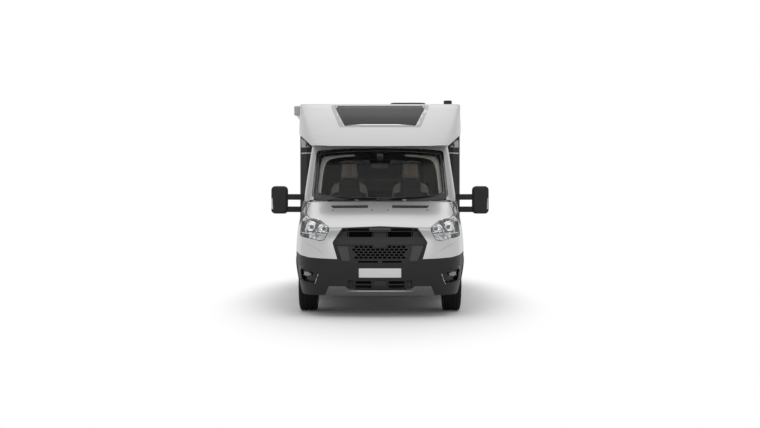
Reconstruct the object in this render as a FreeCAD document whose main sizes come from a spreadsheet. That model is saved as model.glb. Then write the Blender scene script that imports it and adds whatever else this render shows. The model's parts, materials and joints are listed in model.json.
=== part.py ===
import FreeCAD, Part
import math
import os
from types import SimpleNamespace

# Low-profile motorhome: a panel-van cab with a sandwich-built living body behind it.
# The vehicle stands on the plane z = 0 and drives towards -Y; its left side is +X.
# A station is a distance back from the bumper's foremost face, and the row frame's
# origin is on the ground under the middle of the overall length.

Vector = FreeCAD.Vector
doc = FreeCAD.newDocument("motorhome")

SIZES = {
    # whole vehicle
    "nose_length": 1460,
    "rear_overhang": 2240,
    "body_width": 2320,
    "roof_height": 2840,
    "overrun": 60,
    "shortest_edge": 0.001,
    "seam": 0.6,
    "door_gap": 6,
    # wheels and axles
    "axle_setback": 460,
    "wheelbase": 3750,
    "front_track": 1850,
    "rear_track": 1960,
    "tyre_radius": 356,
    "tyre_width": 235,
    "rim_radius": 203,
    "rim_width": 190,
    "rim_wall": 9,
    "hub_radius": 62,
    "spindle_radius": 25,
    "spindle_clearance": 0.05,
    "arch_radius": 430,
    # cab outside
    "cab_half_width": 1050,
    "nose_bottom": 260,
    "cowl_height": 1420,
    "cab_top": 2470,
    "cab_length": 940,
    "panel_thick": 24,
    "pillar_thick": 46,
    "glass_thick": 8,
    "arch_height": 356,
    # cab doors
    "door_rear_inset": 60,
    "door_bottom": 480,
    "door_top": 2100,
    "door_thick": 58,
    "sill_bottom": 340,
    # cap over the cab
    "cap_lip_reach": 995,
    "cap_lip_drop": 302,
    "cap_thick": 34,
    "cap_seat_rise": 32,
    "cap_glass_inset": 6,
    "glass_inset": 4,
    "door_inset": 2,
    "rear_seal_gap": 8,
    "mirror_inner": 1249,
    "mirror_outer": 1469,
    "mirror_bottom": 1258,
    "mirror_top": 1631,
    "mirror_radius": 55,
    "mirror_setback": -40,
    "mirror_depth": 120,
    "mirror_crown": 38,
    "mirror_border": 14,
    "mirror_recess": 9,
    "mirror_glass_thick": 4,
    "mirror_split_share": 0.27,
    "mirror_foot_setback": 40,
    "mirror_arm_low": 1279,
    "mirror_arm_high": 1446,
    "mirror_arm_width": 60,
    "mirror_arm_height": 77,
    "cap_glass_thick": 10,
    "lean_thickening": 1.35,
    # living body
    "wall_thick": 34,
    "wall_bottom": 480,
    "roof_thick": 42,
    "roof_edge_radius": 38,
    "floor_bottom": 560,
    "floor_thick": 60,
    "rear_bumper_reach": 64,
    "skirt_bottom": 290,
    "skirt_thick": 20,
    "skirt_inset": 8,
    "pane_thick": 26,
    "pane_seam": 0.4,
    "front_panel_thick": 24,
    "wheel_box_height": 812,
    "wheel_box_wall": 18,
    "wheel_box_half_length": 440,
    "wheel_box_inner": 820,
    # frame
    "rail_centre": 450,
    "rail_width": 60,
    "rail_bottom": 400,
    "rail_height": 120,
    "rail_front_station": 180,
    "rail_rear_inset": 140,
    "cross_width": 60,
    "cross_reach": 1100,
    "cab_bearer_reach": 930,
    "cab_bearer_front_setback": 160,
    "cab_bearer_rear_setback": 830,
    "hinge_radius": 8,
    "hinge_length": 60,
    "hinge_inset_share": 0.12,
    "hinge_play": 0.3,
    "door_swing_margin": 1.5,
    "cab_hinge_offset": 1042,
    "cab_hinge_low": 560,
    "cab_hinge_high": 930,
    "bonnet_axis_drop": 20,
    "bonnet_pin_inner": 900,
    "bonnet_pin_joint": 922,
    "bonnet_pin_outer": 940,
    "bonnet_pin_radius": 9,
    "bonnet_leaf_length": 34,
    "beam_half_length": 620,
    "beam_depth": 60,
    "beam_bottom": 350,
    "tow_socket_radius": 11,
    "tow_socket_offset": 355,
    "tow_socket_height": 392,
    "towbar_hole_radius": 6.5,
    "towbar_spacing": 160,
    "rail_radius": 6,
    "cross_inset": 12,
    "towbar_inset": 300,
    "towbar_hole_depth": 40,
    "engine_front_station": 420,
    "engine_rear_station": 1080,
    "gearbox_rear_station": 1180,
    "engine_bottom": 330,
    "engine_top": 960,
    "engine_shoulder": 860,
    "gearbox_bottom": 420,
    "gearbox_top": 800,
    "engine_half_width": 340,
    "engine_radius": 30,
    "engine_front_foot_station": 560,
    "engine_rear_foot_station": 960,
    "foot_rise": 50,
    "radiator_station": 250,
    "radiator_thick": 60,
    "radiator_bottom": 420,
    "radiator_top": 900,
    "radiator_half_width": 419.4,
    "lower_arm_height": 232,
    "upper_arm_height": 480,
    "arm_height": 26,
    "arm_root_half": 90,
    "arm_tip_half": 22,
    "arm_tip_radius": 8,
    "post_reach": 30,
    "kingpin_offset": 862,
    "knuckle_gap": 0.5,
    "knuckle_half": 26,
    "spindle_reach": 40,
    "axle_beam_radius": 38,
    "rear_hub_offset": 870,
    "leaf_half_length": 560,
    "leaf_drop": 62,
    "leaf_rise": 14,
    "leaf_bottom": 300,
    "leaf_thick": 30,
    "leaf_bend": 300,
    "leaf_width": 60,
    "shackle_width": 40,
    "tyre_shoulder": 34,
    "rim_face_offset": 30,
    "rim_disc_thick": 16,
    "rim_drop": 12,
    "hub_boss": 24,
    "rim_window_radius": 26,
    "rim_window_count": 10,
    "exhaust_front_setback": -210,
    "exhaust_rear_setback": 1640,
    "exhaust_height": 300,
    "exhaust_pipe": 50,
    "exhaust_offset": 180,
    "silencer_setback": 960,
    "silencer_length": 520,
    "silencer_radius": 80,
    "hanger_setback": 100,
    "tank_radius": 30,
    "tank_bottom": 330,
    "tank_inner": 520,
    "tank_outer": 1060,
    "fresh_tank_setback": 220,
    "fresh_tank_length": 680,
    "waste_tank_setback": 1040,
    "waste_tank_length": 640,
    "garage_tank_half": 380,
    "garage_tank_setback": 600,
    "garage_tank_length": 530,
    "wall_front_gap": 80,
    "arch_top": 790,
    "arch_corner": 120,
    "opening_radius": 45,
    "dinette_window_front": 420,
    "dinette_window_rear": 1320,
    "dinette_window_low_drop": 1340,
    "dinette_window_high_drop": 790,
    "kitchen_window_front": 1570,
    "kitchen_window_rear": 2270,
    "kitchen_window_low_drop": 1280,
    "kitchen_window_high_drop": 790,
    "bed_window_front": 1150,
    "bed_window_rear": 1850,
    "bed_window_low_drop": 990,
    "bed_window_high_drop": 640,
    "garage_door_front": 810,
    "garage_door_rear": 1910,
    "garage_door_low": 660,
    "garage_door_high": 1480,
    "entry_door_front": 640,
    "entry_door_rear": 1280,
    "entry_door_low": 640,
    "entry_door_high_drop": 360,
    "entry_pane_front": 780,
    "entry_pane_rear": 1140,
    "entry_pane_low_drop": 1090,
    "entry_pane_high_drop": 590,
    "rear_wall_thick": 34,
    "rear_corner_radius": 60,
    "rear_window_half": 450,
    "rear_window_low_drop": 940,
    "rear_window_high_drop": 540,
    "pane_set": 2,
    "shoulder_lap": 30,
    "shoulder_sweep": 110,
    "shoulder_bend": 77,
    "rear_bumper_inset": 60,
    "tail_lamp_inner": 900,
    "tail_lamp_outer": 1120,
    "tail_lamp_low": 560,
    "tail_lamp_high": 900,
    "tail_lamp_depth": 30,
    "awning_front": 120,
    "awning_rear": 1450,
    "awning_drop": 5,
    "awning_height": 135,
    "awning_depth": 95,
    "awning_radius": 40,
    "front_hatch_inner": 180,
    "front_hatch_width": 460,
    "front_hatch_setback": 80,
    "front_hatch_length": 400,
    "rear_hatch_size": 400,
    "rear_hatch_setback": 1400,
    "hatch_flange": 30,
    "hatch_lip": 7.5,
    "hatch_frame_height": 14,
    "hatch_gap": 0.3,
    "hatch_lid_height": 26,
    "hatch_lid_crown": 20,
    "roof_cap_radius": 60,
    "roof_cap_height": 66,
    "roof_cap_offset": 990,
    "roof_cap_setback": 80,
    "garage_bulkhead_setback": 730,
    "bed_deck_thick": 24,
    "bed_height": 1520,
    "cab_floor_half": 940,
    "cab_floor_thick": 40,
    "cab_floor_height": 560,
    "firewall_setback": 70,
    "firewall_half": 900,
    "firewall_top": 1280,
    "inner_arch_inner": 590,
    "inner_arch_gap": 0.6,
    "inner_arch_thick": 8,
    "dash_front_setback": -440,
    "dash_front_height": 1390,
    "dash_lip": 50,
    "dash_bottom": 960,
    "dash_rear_setback": 140,
    "dash_top": 1330,
    "dash_radius": 40,
    "dash_half_width": 860,
    "steering_tilt": 40,
    "steering_setback": 300,
    "steering_height": 1180,
    "steering_radius": 190,
    "steering_tube": 15,
    "steering_spoke": 12,
    "steering_hub": 60,
    "steering_hub_depth": 60,
    "column_length": 116,
    "column_gap": 0.3,
    "seat_offset": 440,
    "seat_setback": 440,
    "seat_width": 520,
    "seat_base_half": 208,
    "seat_base_depth": 350,
    "seat_base_setback": 50,
    "seat_pan_half": 234,
    "seat_shell_front": 410,
    "seat_shell_rear": 475,
    "seat_shell_height": 702,
    "seat_cushion_depth": 400,
    "back_thick": 70,
    "headrest_thick": 60,
    "seat_height": 960,
    "seat_pan_thick": 30,
    "squab_thick": 110,
    "back_height": 780,
    "back_lean": 110,
    "back_drop": 1,
    "cushion_radius": 50,
    "headrest_half": 130,
    "headrest_gap": 0.5,
    "headrest_top": 2000,
    "grille_set": 2,
    "grille_recess": 12,
    "grille_depth": 28,
    "grille_rim": 20,
    "mesh_set": 20,
    "mesh_thick": 6,
    "mesh_cell_width": 50,
    "mesh_cell_height": 25,
    "mesh_web": 7,
    "intake_set": 4,
    "intake_recess": 8,
    "intake_depth": 18,
    "lens_thick": 5,
    "lamp_depth": 90,
    "lamp_wall": 4,
    "fog_depth": 46,
    "fog_lens_set": 24,
    "reflector_rim": 22,
    "reflector_radius": 62,
    "reflector_dish": 78,
    "lamp_shelf": 9,
    "intake_clear_share": 3.2,
    "jack_pad_radius": 40,
    "jack_front_setback": 100,
    "jack_rear_setback": 1150,
    "jack_pad_height": 18,
}

sheet = doc.addObject("Spreadsheet::Sheet", "sizes")
for row, (alias, value) in enumerate(SIZES.items(), 1):
    sheet.set(f"A{row}", alias)
    sheet.set(f"B{row}", str(value))
    sheet.setAlias(f"B{row}", alias)
doc.recompute()
S = SimpleNamespace(**{alias: float(getattr(sheet, alias)) for alias in SIZES})
PARTS = []

half_width = S.body_width / 2

# stations and heights that follow from the sizes, and the same for the document's expressions
front_axle_station = S.nose_length - S.axle_setback
rear_axle_station = front_axle_station + S.wheelbase
overall_length = rear_axle_station + S.rear_overhang
rear_wall_station = overall_length - S.rear_bumper_reach
door_front_station = S.nose_length + S.door_gap
cab_rear_station = S.nose_length + S.cab_length
door_rear_station = cab_rear_station - S.door_rear_inset
rear_seal_station = door_rear_station + S.rear_seal_gap
wall_front_station = cab_rear_station + S.wall_front_gap
cap_lip_station = cab_rear_station - S.cap_lip_reach
cap_lip_height = S.cab_top - S.cap_lip_drop
cap_seat_height = cap_lip_height + S.cap_seat_rise
bonnet_axis_height = S.cowl_height - S.bonnet_axis_drop
FRONT_AXLE = "(sizes.nose_length - sizes.axle_setback)"
REAR_AXLE = f"({FRONT_AXLE} + sizes.wheelbase)"
OVERALL = f"({REAR_AXLE} + sizes.rear_overhang)"
REAR_WALL = f"({OVERALL} - sizes.rear_bumper_reach)"
CAB_REAR = "(sizes.nose_length + sizes.cab_length)"
WALL_FRONT = f"({CAB_REAR} + sizes.wall_front_gap)"
nose_face = -overall_length / 2


def at(station):
    """Y of a station behind the bumper's foremost face."""
    return nose_face + station


front_axle = at(front_axle_station)
rear_axle = at(rear_axle_station)


# Drawing helpers


def corner_edges(corners):
    """Lines and tangent arcs through (u, v, radius) corners, closed."""
    n = len(corners)
    starts, ends, arcs = [], [], []
    for i, (u, v, r) in enumerate(corners):
        here = Vector(u, v, 0)
        before = Vector(*corners[i - 1][:2], 0) - here
        after = Vector(*corners[(i + 1) % n][:2], 0) - here
        if r <= 0:
            starts.append(here)
            ends.append(here)
            arcs.append(None)
            continue
        before.normalize()
        after.normalize()
        half_turn = before.getAngle(after) / 2
        reach = r / math.tan(half_turn)
        middle = before + after
        middle.normalize()
        centre = here + middle * (r / math.sin(half_turn))
        inner = centre - middle * r
        starts.append(here + before * reach)
        ends.append(here + after * reach)
        arcs.append(Part.Arc(starts[-1], inner, ends[-1]))
    edges = []
    for i in range(n):
        if arcs[i] is not None:
            edges.append(arcs[i])
        following = (i + 1) % n
        if (starts[following] - ends[i]).Length > S.shortest_edge:
            edges.append(Part.LineSegment(ends[i], starts[following]))
    return edges


def box_corners(u0, v0, u1, v1, r=0.0):
    """Corners of a rectangle with one corner radius."""
    return [(u0, v0, r), (u1, v0, r), (u1, v1, r), (u0, v1, r)]


def ring(u, v, r):
    """A full circle as an outline."""
    return [Part.Circle(Vector(u, v, 0), Vector(0, 0, 1), r)]


def mirrored(corners):
    """The same outline on the other side of the centre line."""
    return [(-u, v, r) for u, v, r in reversed(corners)]


def both_sides(corners):
    """A half outline from the centre line outwards, closed by its mirror image."""
    return corners + [(-u, v, r) for u, v, r in reversed(corners) if u > 0]


def grown(corners, gap):
    """An outline with every straight side moved outwards by gap."""
    n = len(corners)
    area = sum(
        corners[i - 1][0] * corners[i][1] - corners[i][0] * corners[i - 1][1]
        for i in range(n)
    )
    turn = 1 if area > 0 else -1
    out = []
    for i, (u, v, r) in enumerate(corners):
        a = Vector(u, v, 0) - Vector(*corners[i - 1][:2], 0)
        b = Vector(*corners[(i + 1) % n][:2], 0) - Vector(u, v, 0)
        a.normalize()
        b.normalize()
        na = Vector(a.y, -a.x, 0) * turn
        nb = Vector(b.y, -b.x, 0) * turn
        push = (na + nb) * (gap / (1 + na.dot(nb)))
        convex = (a.x * b.y - a.y * b.x) * turn > 0
        radius = max(r + (gap if convex else -gap), 0) if r > 0 else 0
        out.append((u + push.x, v + push.y, radius))
    return out


def wire_of(outline, plane, offset):
    """An outline as a wire in a row plane: XZ at y, YZ at x, or XY at z."""
    edges = outline
    if isinstance(outline[0], tuple):
        edges = corner_edges(outline)
    wire = Part.Wire([Part.Edge(e) if not hasattr(e, "ShapeType") else e for e in edges])
    frames = {
        "XZ": FreeCAD.Matrix(1, 0, 0, 0, 0, 0, -1, offset, 0, 1, 0, 0, 0, 0, 0, 1),
        "YZ": FreeCAD.Matrix(0, 0, 1, offset, 1, 0, 0, 0, 0, 1, 0, 0, 0, 0, 0, 1),
        "XY": FreeCAD.Matrix(1, 0, 0, 0, 0, 1, 0, 0, 0, 0, 1, offset, 0, 0, 0, 1),
    }
    return wire.transformed(frames[plane])


def prism(outline, plane, low, high):
    """A straight solid on an outline, from low to high across its plane."""
    direction = {"XZ": Vector(0, 1, 0), "YZ": Vector(1, 0, 0), "XY": Vector(0, 0, 1)}[plane]
    face = Part.Face(wire_of(outline, plane, low))
    return face.extrude(direction * (high - low))


def front_prism(outline, low_station=None, high_station=None):
    """A front-view outline run from before the bumper to behind the cab."""
    low = at(-S.overrun) if low_station is None else at(low_station)
    high = at(cab_rear_station + S.overrun) if high_station is None else at(high_station)
    return prism(outline, "XZ", low, high)


def side_prism(stations, reach=None):
    """A side-view outline in (station, height), run across the whole width."""
    reach = half_width + S.overrun if reach is None else reach
    return prism([(at(u), v, r) for u, v, r in stations], "YZ", -reach, reach)


def axle_cylinder(y, z, radius, x0, x1):
    """A cylinder across the vehicle."""
    return Part.makeCylinder(radius, x1 - x0, Vector(x0, y, z), Vector(1, 0, 0))


# Document helpers


def origin_plane(body, role):
    for feature in body.Origin.OriginFeatures:
        if feature.Role == role:
            return feature
    raise RuntimeError(role)


def new_sketch(body, plane, offset, outlines, shift=None):
    """A sketch on one of the body's own planes, moved along its normal by an expression."""
    sketch = body.newObject("Sketcher::SketchObject", body.Name + "_sketch")
    sketch.AttachmentSupport = (origin_plane(body, plane + "_Plane"), [""])
    sketch.MapMode = "FlatFace"
    sign = "-" if plane == "XZ" else ""
    sketch.setExpression(".AttachmentOffset.Base.z", f"{sign}({offset})")
    for name, expression in (shift or {}).items():
        sketch.setExpression(f".AttachmentOffset.Base.{name}", expression)
    for outline in outlines:
        edges = corner_edges(outline) if isinstance(outline[0], tuple) else outline
        sketch.addGeometry(edges, False)
    return sketch


def add_pad(body, plane, offset, outlines, length, kind="PartDesign::Pad"):
    """A pad, or a pocket, that starts at offset and runs towards the row axis's plus side."""
    sketch = new_sketch(body, plane, offset, outlines)
    feature = body.newObject(kind, body.Name + "_" + kind.split("::")[1].lower())
    feature.Profile = sketch
    feature.setExpression("Length", length)
    towards_plus = plane != "XZ"
    if kind.endswith("Pocket"):
        towards_plus = not towards_plus
    feature.Reversed = not towards_plus
    body.Tip = feature
    return feature


def new_body(label):
    body = doc.addObject("PartDesign::Body", label)
    body.Label = label
    PARTS.append(body)
    return body


def pad_body(label, plane, offset, outlines, length):
    """A piece padded from flat outlines."""
    body = new_body(label)
    add_pad(body, plane, offset, outlines, length)
    return body


def revolved_body(label, axis_x, axis_y, axis_z, profile):
    """A piece turned about a line parallel to X; the profile is (x, radius, corner)."""
    body = new_body(label)
    sketch = new_sketch(body, "XZ", axis_y, [profile], {"x": axis_x, "y": axis_z})
    turned = body.newObject("PartDesign::Revolution", label + "_turned")
    turned.Profile = sketch
    turned.ReferenceAxis = (sketch, ["H_Axis"])
    turned.Angle = 360
    body.Tip = turned
    return body


def shape_part(label, shape):
    """A piece whose curved skin is made with Part's own functions."""
    feature = doc.addObject("Part::Feature", label)
    feature.Label = label
    feature.Shape = shape
    PARTS.append(feature)
    return feature


def fused(shapes):
    """One solid from overlapping solids."""
    whole = shapes[0].multiFuse(shapes[1:])
    return whole.removeSplitter()


def together(shapes):
    """Separate solids that share a node."""
    return Part.makeCompound([solid for shape in shapes for solid in shape.Solids])


# Curved skins: a bowl is a closed solid whose front and sides are one smooth surface


def blend_table(table, share):
    """Linear reading of a table of (share, value) rows."""
    for (s0, v0), (s1, v1) in zip(table, table[1:]):
        if share <= s1:
            t = (share - s0) / (s1 - s0)
            return v0 + (v1 - v0) * t
    return table[-1][1]


# half width of the cab at a height, as shares of the cab's half width and of its top
CAB_SIDE_SHARES = [
    (0.100, 0.944),
    (0.155, 0.972),
    (0.243, 0.994),
    (0.344, 1.000),
    (0.425, 0.988),
    (0.506, 0.974),
    (0.575, 0.958),
    (0.665, 0.944),
    (0.749, 0.930),
    (0.862, 0.908),
    (1.000, 0.876),
]


def cab_side(z):
    """Half width of the cab's side at height z."""
    return S.cab_half_width * blend_table(CAB_SIDE_SHARES, z / S.cab_top)


# the nose: level as a share of the cowl height, station of the centre line as a share
# of the nose length, and how far the plan has turned from bumper plan to bonnet plan
COWL_SHARE = 0.604
NOSE_LEVEL_SHARES = [
    (0.140, 0.080, 0.0),
    (0.183, 0.064, 0.0),
    (0.232, 0.030, 0.0),
    (0.310, 0.009, 0.0),
    (0.400, 0.000, 0.0),
    (0.490, 0.004, 0.0),
    (0.580, 0.015, 0.0),
    (0.660, 0.030, 0.0),
    (0.725, 0.052, 0.05),
    (0.765, 0.073, 0.15),
    (0.790, 0.104, 0.25),
    (0.825, 0.168, 0.45),
    (0.870, 0.268, 0.70),
    (0.915, 0.384, 0.9),
    (0.960, 0.502, 1.0),
    (1.000, COWL_SHARE, 1.0),
    (1.040, 0.702, 1.0),
]
PLAN_WIDTH_SHARES = [0.0, 0.30, 0.55, 0.74, 0.865, 0.94, 0.985, 1.0, 1.0]
BUMPER_PLAN_SHARES = [0.0, 0.006, 0.026, 0.068, 0.135, 0.225, 0.36, 0.56, 1.0]
BONNET_PLAN_SHARES = [0.0, 0.016, 0.06, 0.135, 0.245, 0.39, 0.57, 0.78, 1.0]


def nose_rows():
    rows = []
    for level, centre, turn in NOSE_LEVEL_SHARES:
        z = S.cowl_height * level
        start = S.nose_length * centre
        half = []
        for width, low, high in zip(PLAN_WIDTH_SHARES, BUMPER_PLAN_SHARES, BONNET_PLAN_SHARES):
            sweep = low + (high - low) * turn
            y = at(start + (S.nose_length - start) * sweep)
            half.append(Vector(cab_side(z) * width, y, z))
        rows.append([Vector(-p.x, p.y, p.z) for p in reversed(half[1:])] + half)
    return rows


# the cab above the cowl: level as a share of the cab's top, and centre station as a share of
# the run from the cowl to the cab's rear
GLASSHOUSE_LEVEL_SHARES = [
    (0.545, -0.0513),
    (0.575, 0.0025),
    (0.640, 0.1084),
    (0.720, 0.2396),
    (0.800, 0.3708),
    (0.870, 0.4862),
    (0.925, 0.5763),
    (0.965, 0.6427),
    (1.000, 0.6996),
]
GLASSHOUSE_WIDTH_SHARES = [0.0, 0.32, 0.58, 0.77, 0.885, 0.95, 0.985, 1.0, 1.0]
GLASSHOUSE_PLAN_SHARES = [0.0, 0.0075, 0.025, 0.052, 0.085, 0.117, 0.145, 0.185, 1.0]


def glasshouse_rows():
    rows = []
    cowl_station = S.nose_length * COWL_SHARE
    for level, centre in GLASSHOUSE_LEVEL_SHARES:
        z = S.cab_top * level
        start = cowl_station + (cab_rear_station - cowl_station) * centre
        base = cowl_station + (cab_rear_station - cowl_station) * GLASSHOUSE_LEVEL_SHARES[0][1]
        half = []
        for width, sweep in zip(GLASSHOUSE_WIDTH_SHARES, GLASSHOUSE_PLAN_SHARES):
            reach = cab_rear_station - (start if sweep == 1.0 else base)
            half.append(Vector(cab_side(z) * width, at(start + reach * sweep), z))
        rows.append([Vector(-p.x, p.y, p.z) for p in reversed(half[1:])] + half)
    return rows


# the cap: level as a share of the height from lip to roof, centre station as a share of
# the run from lip to house, half width as a share of the body's
CAP_LEVEL_SHARES = [
    (-0.16, -0.09, 0.985),
    (-0.02, 0.00, 0.988),
    (0.12, 0.085, 0.991),
    (0.30, 0.22, 0.995),
    (0.50, 0.395, 0.997),
    (0.70, 0.60, 0.996),
    (0.85, 0.78, 0.993),
    (0.94, 0.90, 0.988),
    (1.00, 0.985, 0.982),
    (1.04, 0.9985, 0.975),
]
CAP_WIDTH_SHARES = [0.0, 0.30, 0.57, 0.77, 0.885, 0.955, 0.99, 1.0, 1.0]
CAP_PLAN_SHARES = [0.0, 0.012, 0.045, 0.14, 0.26, 0.44, 0.66, 0.86, 1.0]


def cap_rows():
    rows = []
    rise = S.roof_height - cap_lip_height
    run = cab_rear_station - cap_lip_station
    for level, centre, wide in CAP_LEVEL_SHARES:
        z = cap_lip_height + rise * level
        start = cap_lip_station + run * centre
        half = []
        for width, sweep in zip(CAP_WIDTH_SHARES, CAP_PLAN_SHARES):
            y = at(start + (cab_rear_station - start) * sweep)
            half.append(Vector(half_width * wide * width, y, z))
        rows.append([Vector(-p.x, p.y, p.z) for p in reversed(half[1:])] + half)
    return rows


def inset_rows(rows, inset):
    """The rows moved inwards along the surface normal; the first and last stay level."""
    out = []
    for i, row in enumerate(rows):
        new = []
        for j, p in enumerate(row):
            along = row[min(j + 1, len(row) - 1)] - row[max(j - 1, 0)]
            up = rows[min(i + 1, len(rows) - 1)][j] - rows[max(i - 1, 0)][j]
            normal = up.cross(along)
            normal.normalize()
            if normal.y < 0 or normal.x * p.x > 0:
                normal = normal * -1
            q = p + normal * inset
            if i in (0, len(rows) - 1):
                q.z = p.z
            new.append(q)
        for end, mate in ((0, 1), (-1, -2)):
            new[end].y = row[end].y + S.overrun
        out.append(new)
    return out


def bowl(rows):
    """A solid from one smooth surface carried straight back past the cab's rear."""
    surface = Part.BSplineSurface()
    surface.interpolate([row[1:-1] for row in rows])
    return surface.toShape().extrude(Vector(0, cab_rear_station + S.overrun, 0))


def shifted_rows(rows, inset):
    """The rows drawn in sideways and moved back, for a shape that leans back all over."""
    width = max(p.x for row in rows for p in row)
    narrower = (width - inset) / width
    return [
        [Vector(p.x * narrower, p.y + inset * S.lean_thickening, p.z) for p in row] for row in rows
    ]


def skin_between(rows, outer_inset, inner_inset, keep=None, move=inset_rows):
    """A shell of even thickness under a bowl's surface, within a keeping solid."""
    outer = bowl(move(rows, outer_inset)) if outer_inset else bowl(rows)
    if keep is not None:
        outer = outer.common(keep)
    return outer.cut(bowl(move(rows, inner_inset)))


# Front-view outlines (x, z, corner radius) of the nose, half of each from the centre out
# or one side whole, as shares of the cab's half width and the cowl height


def front_points(shares):
    return [
        (S.cab_half_width * u, S.cowl_height * v, S.cab_half_width * r) for u, v, r in shares
    ]


GRILLE_SHARES = [
    (0.0, 0.777, 0.0),
    (0.437, 0.764, 0.020),
    (0.550, 0.640, 0.040),
    (0.488, 0.488, 0.040),
    (0.395, 0.454, 0.030),
    (0.0, 0.453, 0.0),
]
LAMP_SHARES = [
    (0.583, 0.760, 0.018),
    (0.695, 0.822, 0.050),
    (0.773, 0.838, 0.050),
    (0.836, 0.842, 0.030),
    (0.900, 0.876, 0.020),
    (0.944, 0.840, 0.020),
    (0.952, 0.697, 0.020),
    (0.912, 0.682, 0.030),
    (0.707, 0.650, 0.030),
    (0.643, 0.660, 0.030),
    (0.594, 0.733, 0.030),
]
BONNET_SHARES = [
    (0.0, 0.7785, 0.0),
    (0.441, 0.7655, 0.0),
    (0.581, 0.7635, 0.0),
    (0.693, 0.8255, 0.050),
    (0.773, 0.8415, 0.050),
    (0.834, 0.8455, 0.030),
    (0.900, 0.8830, 0.060),
    (0.862, 1.040, 0.0),
]
# the bonnet's rear edge in plan: x as shares of the cab's half width, station as shares
# of the nose length
BONNET_REAR_SHARES = [
    (0.000, 0.576, 0.0),
    (0.289, 0.582, 0.300),
    (0.530, 0.601, 0.300),
    (0.712, 0.634, 0.300),
    (0.833, 0.679, 0.100),
    (0.900, 0.740, 0.0),
]
BONNET_AXIS_SHARE = 0.70959
BUMPER_TOP_SHARES = [
    (0.480, 0.4985, 0.0),
    (0.683, 0.5035, 0.060),
    (0.832, 0.5105, 0.060),
    (0.943, 0.528, 0.060),
    (1.100, 0.585, 0.0),
]
INTAKE_SHARES = [
    (0.0, 0.322, 0.0),
    (0.505, 0.321, 0.020),
    (0.585, 0.268, 0.010),
    (0.400, 0.268, 0.020),
    (0.357, 0.238, 0.020),
    (0.0, 0.236, 0.0),
]
TRIM_SHARES = [
    (0.0, 0.2355, 0.0),
    (0.3575, 0.2375, 0.020),
    (0.4005, 0.2675, 0.020),
    (0.589, 0.2675, 0.0),
    (0.640, 0.1835, 0.0),
    (0.0, 0.1835, 0.0),
]
FOG_SHARES = [
    (0.935, 0.412, 0.020),
    (0.705, 0.385, 0.020),
    (0.757, 0.275, 0.030),
    (0.915, 0.305, 0.030),
]

FOG_LENS_SHARES = [
    (0.912, 0.398, 0.020),
    (0.792, 0.377, 0.015),
    (0.804, 0.338, 0.015),
    (0.902, 0.352, 0.015),
]
LAMP_BACK_SHARE = 0.62
lamp_back_station = S.nose_length * LAMP_BACK_SHARE
# each reflector's centre and its radius as a share of the common one
REFLECTOR_SHARES = [
    (0.672, 0.760, 0.92),
    (0.815, 0.775, 1.10),
]
LAMP_SHELF_SHARES = [
    (0.560, 0.700),
    (0.780, 0.712),
    (1.000, 0.732),
]

grille_outline = both_sides(front_points(GRILLE_SHARES))
lamp_outline = front_points(LAMP_SHARES)
bonnet_half = front_points(BONNET_SHARES)
bonnet_outline = both_sides(bonnet_half + [(0.0, bonnet_half[-1][1], 0.0)])
bonnet_rear = [
    (S.cab_half_width * u, at(S.nose_length * v), S.cab_half_width * r)
    for u, v, r in BONNET_REAR_SHARES
]
bonnet_plan = both_sides(
    [(0.0, at(-S.overrun), 0.0), (half_width, at(-S.overrun), 0.0)]
    + [(half_width, bonnet_rear[-1][1], 0.0)] + bonnet_rear[::-1]
)
intake_outline = both_sides(front_points(INTAKE_SHARES))
trim_outline = both_sides(front_points(TRIM_SHARES))
fog_outline = front_points(FOG_SHARES)
fog_lens_outline = front_points(FOG_LENS_SHARES)
bumper_top = front_points(BUMPER_TOP_SHARES)
bumper_half = bumper_top + [
    (bumper_top[-1][0], S.nose_bottom, 0.0),
    (0.0, S.nose_bottom, 0.0),
]
bumper_outline = both_sides([(0.0, bumper_top[0][1], 0.0)] + bumper_half)


def cab_hinges(play, sign=None):
    """Barrels on the cab doors' hinge axis, or with play the pockets around them."""
    out = []
    for side in (1, -1) if sign is None else (sign,):
        for low in (S.cab_hinge_low, S.cab_hinge_high):
            out.append(
                Part.makeCylinder(
                    S.hinge_radius + play, S.hinge_length + 2 * play,
                    Vector(side * S.cab_hinge_offset, at(door_front_station), low - play),
                )
            )
    return out


def lamp_tray(rows, outline, front_inset, depth):
    """An open tray behind a lamp's outline, its floor parallel to the skin."""
    outer = front_prism(grown(outline, -S.seam), high_station=lamp_back_station)
    inner = front_prism(
        grown(outline, -S.lamp_wall), high_station=lamp_back_station - S.lamp_wall
    )
    block = skin_between(rows, front_inset, depth, outer)
    hollow = skin_between(rows, 0, depth - S.lamp_wall, inner)
    return block.cut(hollow)


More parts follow.
